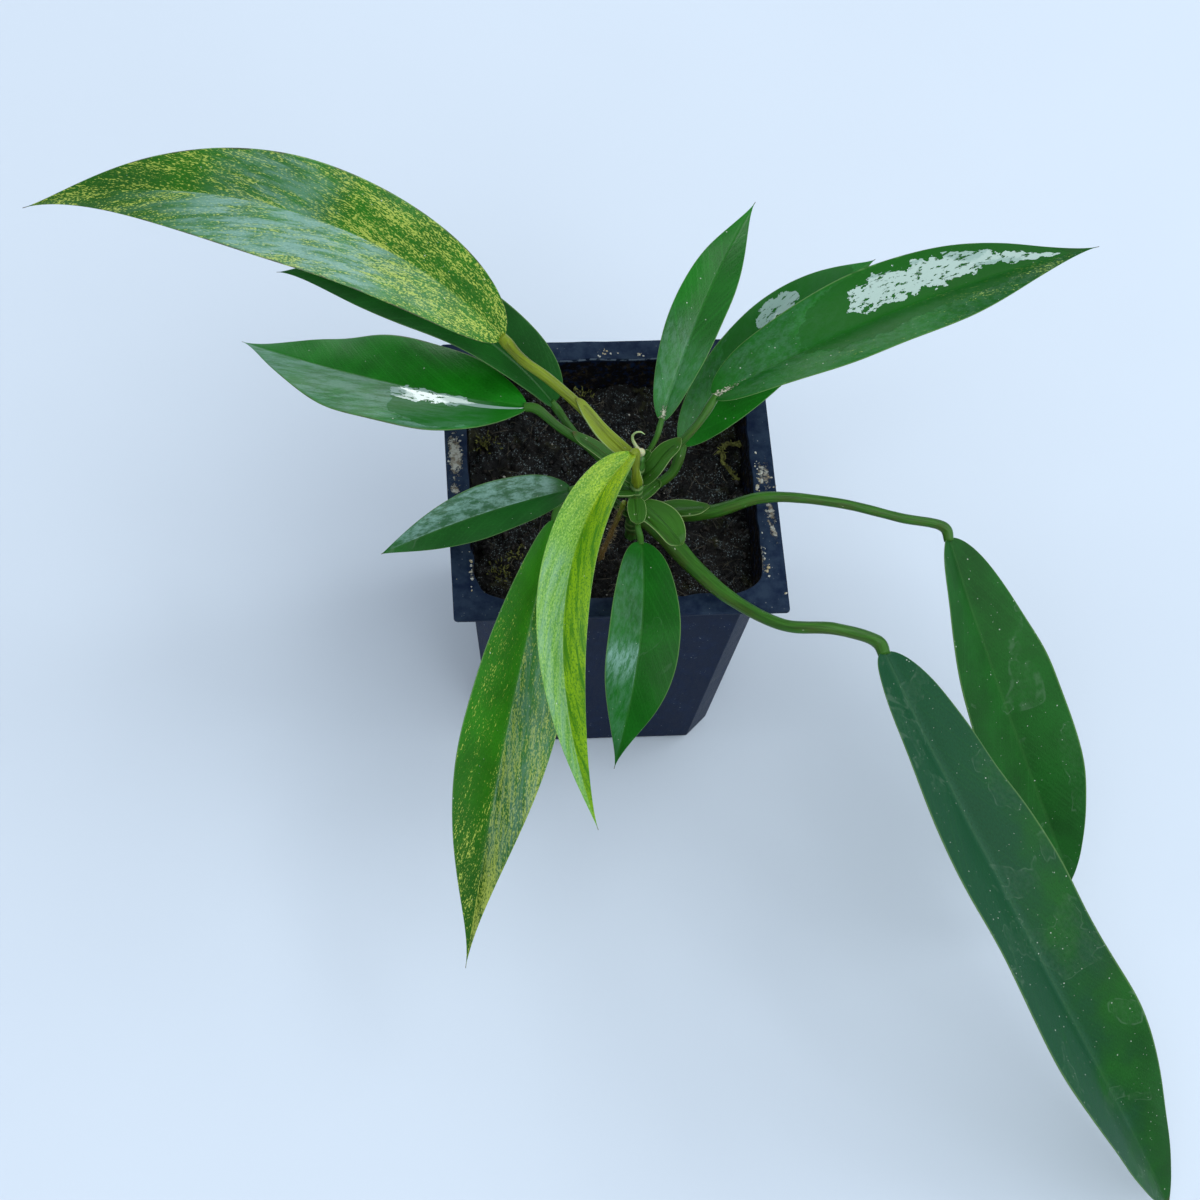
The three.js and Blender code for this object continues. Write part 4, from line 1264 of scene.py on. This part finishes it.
def stalk_finish(name, skin, colours, blush):
    """Green or olive skin with lengthwise streaks, pale pores, thin pale sheath edges and a
    brownish tinge on one side."""
    f = Finish(name, shade(skin, 0.62))
    place = f.place()
    reach, aside, above, sheath, knee = map(f.attribute, ("reach", "aside", "above", "sheath", "knee"))
    streaks = f.noise((reach * 0.16, aside * 3.4, above * 3.4), 1.0, 4, 0.65)
    patches = f.noise(place, 0.35, 3)
    pores = f.specks(f.vector(reach * 0.55, aside * 1.6, above * 1.6), 1.0, 0.13, 0.16)
    stalk = 1 - sheath
    f.paint(
        (shade(skin, 1.35), streaks.rise(0.3, 0.72)),
        (shade(skin, 1.3, 0.004), above.rise(0.02, 0.3) * sheath * 0.7),
        (colours.blush, (aside * -1).rise(0.1, 0.95) * patches.rise(0.35, 0.6) * blush * stalk),
        (colours.pale, abs(aside).rise(0.93, 0.985) * sheath * 0.85),
        (shade(skin, 1.25), knee * 0.5 * stalk),
        (colours.blush, knee * sheath * patches.rise(0.3, 0.5) * blush),
        (PORE, pores * 0.7),
    )
    height = streaks + f.noise(place, 6.0, 2) * 0.25 - pores * 0.5
    return f.close(0.22 + streaks * 0.16, height, depth=0.09, IOR=1.26)


# Blades


def outline(leaf, s):
    """Half width as a share of the greatest: (1 - (1 - s/widest)^2)^shoulder up to widest, and
    (1 - ((s - widest)/(1 - widest))^2)^point past it."""
    widest = leaf["widest"]
    low = np.clip(1 - (1 - np.minimum(s / widest, 1)) ** 2, 0, 1) ** leaf["shoulder"]
    high = np.clip(1 - (np.maximum(s - widest, 0) / (1 - widest)) ** 2, 0, 1) ** leaf["point"]
    return np.where(s < widest, low, high)


def blade_shape(leaf, sizes, rows=170, half_cells=18):
    """The rib is the running sum of steps along a heading and pitch that change evenly with the
    share s of its length. Each half leans up by the fold from a soft crease at the rib, waves at
    its margin, and bulges between side veins that leave the rib at a sharp angle. The lower sheet
    lies a thickness below the upper one, more under the rib and less at the margin."""
    t = np.linspace(0, 1, rows)
    s = lerp(t, (1 - np.cos(np.pi * t)) / 2, 0.55)
    fine = np.linspace(0, 1, 601)
    middle = (fine[1:] + fine[:-1]) / 2
    steps = direction(leaf["heading"] + leaf["turn"] * middle, leaf["pitch"] - leaf["droop"] * middle)
    rib = np.vstack([np.zeros(3), np.cumsum(steps, 0)]) * leaf["length"] / len(middle)
    rib = picked(s, fine, rib + np.array(leaf["foot"]))
    heading = leaf["heading"] + leaf["turn"] * s
    roll = np.radians(leaf["roll"] + leaf["twist"] * s)[:, None]
    level = direction(heading + 90, 0)
    raised = direction(heading, leaf["pitch"] - leaf["droop"] * s + 90)
    side = level * np.cos(roll) + raised * np.sin(roll)
    up = raised * np.cos(roll) - level * np.sin(roll)
    s = s[:, None]
    shape = outline(leaf, s)
    half = np.maximum(leaf["width"] / 2 * shape, 0.06)
    u = np.linspace(-1, 1, 2 * half_cells + 1)
    v = np.sign(u) * (1 - (1 - np.abs(u)) ** 1.25)
    fold = math.radians(leaf["fold"])
    soft = np.sqrt((half * v) ** 2 + CREASE**2) - CREASE
    sheet = stacked(s * leaf["length"], half * v)
    margin = leaf["wave"] * np.sin(6 * np.pi * s + np.sign(v)) * v**2 * shape
    phase = sheet[..., 0] - np.abs(sheet[..., 1]) / math.tan(math.radians(VEIN_ANGLE))
    veins = np.sin(phase * 2 * np.pi / (sizes.vein_spacing / MM) / 1.7)
    relief = VEIN_DEPTH * veins * np.abs(v) * (1 - v**4) * smooth(half, 1.0, 4.0)
    buckles = ripple(sheet * [0.5, 1], 7, sum(map(ord, leaf["name"])))
    relief += BUCKLE_DEPTH * buckles * np.minimum(half / 4, 1)
    camber = ARCH * half * (np.abs(v) - v**2) * 4
    lift = soft * math.sin(fold) + margin + relief + camber
    upper = carried(rib, side, up, half * np.cos(fold) * v, lift + sizes.thickness / MM / 2)
    thick = lerp(sizes.margin, sizes.thickness, smooth(np.abs(v), 1.0, 0.86)) / MM
    ridge = sizes.rib / MM * (1 - 0.6 * s) * np.exp(-((half * v / 0.75) ** 2))
    lower = upper - up[:, None] * ((thick + ridge) * np.minimum(1, half / 1.2))[..., None]
    rings = np.concatenate([upper, lower[:, ::-1]], 1)
    both = np.concatenate([v, v[::-1]])
    under = np.repeat([0.0, 1.0], len(v))
    own = marks(rings, along=s, across=both, reach=s * leaf["length"], aside=half * both, under=under)
    return rings, own


def water(along, across, bands, ragged_noise, edge, breaks=None):
    """1 inside the bands. A band's middle line runs from its first side to its second with a bow
    of 4t(1 - t), and a point is inside while (distance/breadth)^2 + |2t - 1|^6 plus a share of the
    noise stays under 1. Bands more ragged than RAGGED are also broken up."""
    lanes = []
    for start, end, side, bow, far_side, breadth, ragged in bands:
        t = (along - start) * (1 / (end - start))
        middle = t * (far_side - side) + side + t * (1 - t) * (4 * bow)
        lane = abs(across - middle) * (1 / breadth)
        reach = lane * lane + abs(t * 2 - 1) ** 6 + (ragged_noise - 0.5) * (ragged * 5)
        inside = reach.rise(1.0, 1.0 - edge)
        if breaks is not None and ragged > RAGGED:
            inside = inside * breaks
        lanes.append(inside)
    return reduce(Value.most, lanes)


def blade_finish(leaf, colours):
    """A waxy leaf: a ground that varies slowly, flecks stretched along the veins, a pale rib and
    margin, a lighter underside, fine grain, bands of painted sheen, a painted bluish sheen along the
    rib of a cool blade, and where the leaf has them water with a painted reflection on its film, dust
    and stains."""
    looks = {**PLAIN_LOOK, **LOOKS[leaf["name"]]}
    ground = shade(getattr(colours, leaf["kind"]), looks["tone"])
    f = Finish("blade_" + leaf["name"], shade(ground, 0.74))
    along, across, reach, aside, under = map(f.attribute, ("along", "across", "reach", "aside", "under"))
    hand, off, top = across.sign(), abs(aside), 1 - under
    seed = float(sum(map(ord, leaf["name"])) % 97)
    sheet = f.vector(reach, aside, seed)

    phase = (reach - off * (1 / math.tan(math.radians(VEIN_ANGLE)))) * (1.4 * MM / colours.vein_spacing)
    veins = f.noise((phase, off * 0.03, hand * 5 + seed), 1.0, 2, 0.6)
    grain = f.noise((reach * 2.2, aside * 4.5, seed), 1.0, 3, 0.6)
    cloud = f.noise(sheet, 0.09, 3, 0.55)
    f.paint((shade(ground, 1.24), cloud.rise(0.3, 0.7)))
    if looks["cool"]:
        cool = (along * 0.6 + across * 0.2 + (cloud - 0.5) * 0.7).rise(0.6, 0.25) * looks["cool"]
        # A painted bluish sheen along the rib, broken by the grain.
        blue_sheen = off.rise(1.6, 0.1) * (grain * 0.5 + 0.1) * cool
        f.paint((BLUE_GREEN, cool), (BLUE_SHEEN, blue_sheen))
    f.paint(
        (shade(ground, 1.5, 0.006), veins.rise(0.5, 0.68) * looks["veins"]),
        (shade(ground, 0.55), grain.rise(0.52, 0.3) * 0.45),
        (shade(ground, 1.5, 0.01), grain.rise(0.55, 0.75) * 0.35),
    )

    slant = math.radians(FLECK_ANGLE)
    lengthwise = reach * math.cos(slant) + off * math.sin(slant)
    crosswise = off * math.cos(slant) - reach * math.sin(slant) + hand * 31
    patchy = f.noise((lengthwise * 0.06, crosswise * 0.5, seed + 7), 1.0, 2, 0.5)
    if leaf["kind"] == "yellow":
        left = hand * -0.5 + 0.5
        streaks = f.noise((lengthwise * 0.12, crosswise * 1.1, seed + 9), 1.0, 4, 0.65)
        speckle = f.noise((lengthwise * 2.2, crosswise * 3.6, seed + 13), 1.0, 2, 0.7)
        lower = along.rise(0.1, 0.4) * 0.6 + 0.4
        f.paint(
            (OUTER_YELLOW, along.rise(0.1, 0.35) * 0.55),
            (GREY_PATCH, (patchy * 0.5 + 0.3) * lower * (left * 0.9 + 0.1)),
            (GREEN_STREAK, streaks.rise(0.44, 0.62) * (0.85 - left * 0.35)),
            (GREEN_SPECK, speckle.rise(0.5, 0.4) * 0.8),
            (CREAM_SPECK, speckle.rise(0.55, 0.7) * left * 0.7),
        )
    elif looks["flecks"]:
        coarse = f.noise((lengthwise * 0.5, crosswise * 2.2, seed), 1.0, 3, 0.6)
        fine = f.noise((lengthwise * 1.9, crosswise * 5.4, seed + 3), 1.0, 2, 0.6)
        amount = looks["flecks"] + (along - 0.5) * looks["gradient"] + hand * looks["side"]
        level = coarse * 0.36 + fine * 0.64 + (patchy - 0.5) * 0.3 + (amount - 0.5) * 0.4
        tint = tuple(colours.fleck) if leaf["kind"] == "flecked_green" else PALE_FLECK
        f.paint(
            (shade(ground, 0.5), along.rise(0.45, 0.9) * 0.7),
            (blend(ground, tint, 0.4), level.rise(0.44, 0.6) * 0.25),
            (tint, level.rise(0.53, 0.585) * 0.85),
        )

    rib = off.rise(0.5, 0.12) * (1 - along * 0.5)
    edge = abs(across).rise(0.962, 0.994)
    f.paint((blend(ground, colours.pale, 0.45), rib * 0.08), (colours.pale, edge * 0.42))
    if looks["brown_edge"]:
        brown = edge * f.noise(sheet, 0.35, 2).rise(0.42, 0.58) * looks["brown_edge"]
        f.paint((BROWN_EDGE, brown))
    f.paint(
        (DRY_TIP, along.rise(0.982, 0.998) * 0.8),
        (blend(ground, colours.pale, 0.5), under * 0.75),
    )

    rough = cloud * 0.1 + grain * 0.14 + (colours.roughness - 0.12 + looks["roughness"])
    height = veins * 0.6 + grain * 0.5 + f.noise(sheet, 9.0, 2) * 0.22 - rib * 1.2
    if looks["stains"]:
        shores = f.noise(sheet, 0.085, 3, 0.5, 0.6)
        line = abs(shores - 0.56).rise(0.012, 0.002) * f.noise(sheet, 0.5, 2).rise(0.4, 0.6)
        inside = shores.rise(0.55, 0.57) * f.noise(sheet, 1.3, 3).rise(0.3, 0.75)
        f.paint((WATER_MARK, (line * 0.6 + inside * 0.22) * looks["stains"] * top))
        rough = rough + inside * (0.08 * looks["stains"])
    # Bands of painted sheen: a pale colour laid where the blade catches the light.
    if looks["sheen_bands"]:
        sheen_streaks = f.noise((lengthwise * looks["mottle"], crosswise * 0.9, seed + 11), 1.0, 4, 0.7)
        marked = sheen_streaks.rise(0.38, 0.62) * 0.8 + 0.2
        sheen_mask = abs(across).rise(1.02, 0.9) * marked * (grain * 0.9 + 0.38) * top
    for side, start, end, strength in looks["sheen_bands"]:
        lane = (hand * side).rise(0.0, 0.4) * along.rise(start, start + 0.1)
        lane = lane * along.rise(end + 0.08, end - 0.08)
        f.paint((PAINTED_SHEEN, lane * sheen_mask * strength))
    dust = looks["dust"]
    specks = f.specks(sheet, 0.62, 0.085, dust) + f.specks(sheet, 1.7, 0.12, dust * 0.4)
    f.paint((DUST, specks * 0.75 * top))
    if looks["scurf"]:
        near = along.rise(0.17, 0.0) * off.rise(1.5, 0.1)
        scale = (near * 0.62 + (f.noise(sheet, 2.2, 4, 0.75) - 0.5) * 1.5).rise(0.5, 0.62)
        scale = scale * near.rise(0.02, 0.3)
        f.paint((SCURF, scale * looks["scurf"] * top))
        rough = rough + scale * 0.3
        height = height + scale * 2
    coat = {}
    if leaf["name"] in WET:
        ragged = f.noise((reach * 0.42, aside * 0.6, seed), 1.0, 4, 0.55)
        breaks = f.noise((reach * 0.5, aside * 1.5, seed + 5), 1.0, 4, 0.65).rise(0.4, 0.44)
        damp = water(along, across, WET[leaf["name"]], ragged, 0.12) * top
        film = water(along, across, FILMS[leaf["name"]], ragged, 0.06, breaks) * top
        # A film is painted pale, a painted reflection, under its clear coat.
        f.paint((shade(ground, 0.8), damp * 0.7), (FILM_REFLECTION, film * 0.72))
        rough = (rough * (1 - damp) + damp * 0.4) * (1 - film) + film * 0.09
        height = height * (1 - damp * 0.75) * (1 - film) + film * 1.5
        coat = dict(Coat_Weight=film, Coat_Roughness=0.05, Coat_IOR=1.5)
    return f.close(rough, height, depth=0.055, IOR=looks["gloss"], **coat)


# Operators


class PlantOperator(bpy.types.Operator):
    """What the operators share."""

    bl_options = {"REGISTER", "UNDO"}


class PLANT_OT_stage(PlantOperator):
    """Adds the camera, a plain pale floor and soft lights."""

    bl_idname = "plant.stage"
    bl_label = "Stage"

    def execute(self, context):
        own = settings("stage")
        self.camera(context.scene, own)
        self.floor(own)
        for name, light in LIGHTS.items():
            self.light(context.scene, own, name, *light)
        world = bpy.data.worlds.new("room")
        world.use_nodes = True
        background = world.node_tree.nodes["Background"]
        background.inputs["Color"].default_value = rgba(ROOM_COLOUR)
        background.inputs["Strength"].default_value = own.surroundings
        context.scene.world = world
        context.scene.view_settings.view_transform = "Standard"
        return {"FINISHED"}

    def camera(self, scene, own):
        """The camera looks along the heading yaw from +Y and down by pitch, rolled by roll."""
        cp, sp, cy, sy = math.cos(own.pitch), math.sin(own.pitch), math.cos(own.yaw), math.sin(own.yaw)
        ahead = Vector((sy * cp, cy * cp, -sp))
        right = Vector((cy, -sy, 0))
        up = right.cross(ahead)
        cr, sr = math.cos(own.roll), math.sin(own.roll)
        turned = Matrix((right * cr + up * sr, up * cr - right * sr, -ahead)).transposed()
        data = bpy.data.cameras.new("camera")
        data.lens, data.sensor_width, data.sensor_fit = own.lens, SENSOR_WIDTH, "HORIZONTAL"
        data.clip_start, data.clip_end = 0.01, 50.0
        camera = bpy.data.objects.new("camera", data)
        camera.matrix_world = Matrix.Translation(own.place) @ turned.to_4x4()
        scene.collection.objects.link(camera)
        scene.camera = camera

    def floor(self, own):
        f = Finish("floor", own.floor)
        f.paint((shade(own.floor, 0.97), f.noise(f.place(), 0.02, 2)))
        corners = [(-1, -1), (1, -1), (1, 1), (-1, 1)]
        points = np.array([(x * GROUND_HALF, y * GROUND_HALF, GROUND_LEVEL) for x, y in corners])
        put_mesh("floor", (points, [np.array([[0, 1, 2, 3]])]), f.close(0.75))

    def light(self, scene, own, name, azimuth, elevation, half_angle, brightness):
        """A square panel that faces the plant. It covers twice its half angle in the plant's sky,
        and its power is pi times its area times its brightness."""
        away = Vector(direction(azimuth - 90, elevation))
        side = 2 * LIGHT_DISTANCE * math.tan(math.radians(half_angle))
        data = bpy.data.lights.new(name, "AREA")
        data.shape, data.size, data.color = "SQUARE", side, own.light
        data.energy = math.pi * side**2 * brightness
        light = bpy.data.objects.new(name, data)
        light.location = PLANT_CENTRE + away * LIGHT_DISTANCE
        light.rotation_euler = away.to_track_quat("Z", "Y").to_euler()
        light.visible_camera = False
        scene.collection.objects.link(light)


class PLANT_OT_pot(PlantOperator):
    """Adds the square nursery pot and the crust on its rim."""

    bl_idname = "plant.pot"
    bl_label = "Pot"

    def execute(self, context):
        own = settings("pot")
        rings = pot_shape(own.lip_wave / MM)
        shape = loft(rings)
        row = np.arange(len(rings))[:, None]
        last_on_top = np.nonzero(rings[..., 2].mean(1) > POT_HEIGHT - 0.45)[0].max()
        on_lip = (np.abs(row - last_on_top - 1) < 2) * 1.0
        attributes = marks(rings, inner=(row > last_on_top) * 1.0, lip=on_lip)
        attributes["crust"] = crust_depth(shape[0])
        finish = pot_finish(own)
        pot = put_mesh("nursery_pot", shape, finish, attributes)
        cut(pot, put_mesh("drains", drain_cutter(), finish))
        pot.data.set_sharp_from_angle(angle=math.radians(40))
        dress(pot, "pot_plastic", "pot")
        grains = crust_grains(own.crust_grains, settings("peat").seed)
        dress(put_mesh("rim_crust", grains, crust_finish(own)), "pot_plastic")
        return {"FINISHED"}


class PLANT_OT_peat(PlantOperator):
    """Adds the peat with its crumbs, fibres, pale grains and moss."""

    bl_idname = "plant.peat"
    bl_label = "Peat"

    def execute(self, context):
        own = settings("peat")
        rng = np.random.default_rng(own.seed)
        dress(put_mesh("peat", soil_shape(), peat_finish(own)), "peat", "soil")
        crumbs = joined(
            crumb_shapes(rng, own.crumbs, 0.07, 0.42, 31), crumb_shapes(rng, own.crumbs // 8, 0.2, 0.85, 47)
        )
        fibres = fibre_shapes(rng, own.fibres)
        grit = crumb_shapes(rng, own.grains, 0.06, 0.3, 53)
        moss = joined(moss_shapes(rng), *map(strand_core, MOSS_STRANDS))
        for name, shape, first, second, size, roughness in (
            ("peat_crumbs", crumbs, shade(own.dark, 0.8), shade(own.brown, 1.5), 0.6, 0.45),
            ("peat_fibres", fibres, shade(own.fibre, 0.08), own.fibre, 0.35, 0.7),
            ("peat_grit", grit, own.grit, shade(own.fibre, 0.4), 0.5, 0.6),
            ("moss", moss, own.moss, shade(own.moss, 1.8), 0.9, 0.8),
        ):
            finish = litter_finish(name.removeprefix("peat_"), first, second, size, roughness)
            dress(put_mesh(name, shape, finish, flat=name == "peat_grit"), "peat")
        return {"FINISHED"}


class PLANT_OT_stem(PlantOperator):
    """Adds the stem, the aerial root with its hairs and the new shoot."""

    bl_idname = "plant.stem"
    bl_label = "Stem, root and shoot"

    def execute(self, context):
        own = settings("stalks")
        rings, scar = stem_shape()
        stem = put_mesh("main_stem", loft(rings), stem_finish(own), marks(rings, scar=scar))
        dress(stem, "stalk_green", "stem")
        rings, line, radii = root_shape()
        finish = growth_finish("root", shade(own.olive, 1.2), own.root, 0.0, 0.4, 1.8)
        dress(self.growth("root", rings, finish), "root_brown", "aerial_root")
        hairs = root_hairs(line, radii, own.hair_count, settings("peat").seed)
        finish = litter_finish("root_hair", own.hair, shade(own.hair, 0.6), 1.0, 0.6)
        dress(put_mesh("root_hairs", hairs, finish), "root_brown")
        finish = growth_finish("shoot", own.bud, own.pale, 0.25, 0.7, 1.4)
        dress(self.growth("shoot", shoot_shape(), finish), "bud_cream", "new_shoot")
        return {"FINISHED"}

    def growth(self, name, rings, finish):
        along = np.linspace(0, 1, len(rings))[:, None]
        return put_mesh(name, loft(rings), finish, marks(rings, along=along))


class PLANT_OT_stalks(PlantOperator):
    """Adds the twelve stalks with their open sheaths."""

    bl_idname = "plant.stalks"
    bl_label = "Stalks"

    def execute(self, context):
        own = settings("stalks")
        for leaf in LEAVES:
            name, kind = "stalk_" + leaf["name"], leaf["stalk_kind"]
            (rod, rod_marks), (trough, trough_marks) = stalk_shape(leaf), sheath_shape(leaf)
            attributes = {key: np.concatenate([rod_marks[key], trough_marks[key]]) for key in rod_marks}
            finish = stalk_finish(name, getattr(own, kind), own, leaf.get("blush", 0.25))
            stalk = put_mesh(name, joined(loft(rod), loft(trough)), finish, attributes)
            dress(stalk, "stalk_" + kind, "petiole_" + leaf["name"])
        return {"FINISHED"}


class PLANT_OT_blades(PlantOperator):
    """Adds the twelve leaf blades."""

    bl_idname = "plant.blades"
    bl_label = "Blades"

    def execute(self, context):
        own = settings("blades")
        for leaf in LEAVES:
            rings, attributes = blade_shape(leaf, own)
            blade = put_mesh("leaf_" + leaf["name"], loft(rings), blade_finish(leaf, own), attributes)
            dress(blade, BLADE_SLOTS[leaf["kind"]], "blade_" + leaf["name"])
        return {"FINISHED"}


OPERATORS = [PLANT_OT_stage, PLANT_OT_pot, PLANT_OT_peat, PLANT_OT_stem, PLANT_OT_stalks, PLANT_OT_blades]


class PLANT_PT_panel(bpy.types.Panel):
    """Lists the steps of the plant."""

    bl_idname = "PLANT_PT_panel"
    bl_label = "Potted Philodendron"
    bl_space_type = "VIEW_3D"
    bl_region_type = "UI"
    bl_category = "Plant"

    def draw(self, context):
        for operator in OPERATORS:
            self.layout.operator(operator.bl_idname)
        for name, group in SETTINGS.items():
            box = self.layout.box()
            for key in group.__annotations__:
                box.prop(getattr(context.scene, name), key)


CLASSES = [*SETTINGS.values(), *OPERATORS, PLANT_PT_panel]


def register():
    for cls in CLASSES:
        bpy.utils.register_class(cls)
    for name, group in SETTINGS.items():
        setattr(bpy.types.Scene, name, bpy.props.PointerProperty(type=group))


def unregister():
    for name in SETTINGS:
        delattr(bpy.types.Scene, name)
    for cls in reversed(CLASSES):
        bpy.utils.unregister_class(cls)


def main():
    """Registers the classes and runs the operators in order."""
    register()
    for operator in OPERATORS:
        family, name = operator.bl_idname.split(".")
        getattr(getattr(bpy.ops, family), name)()


if __name__ == "__main__":
    main()
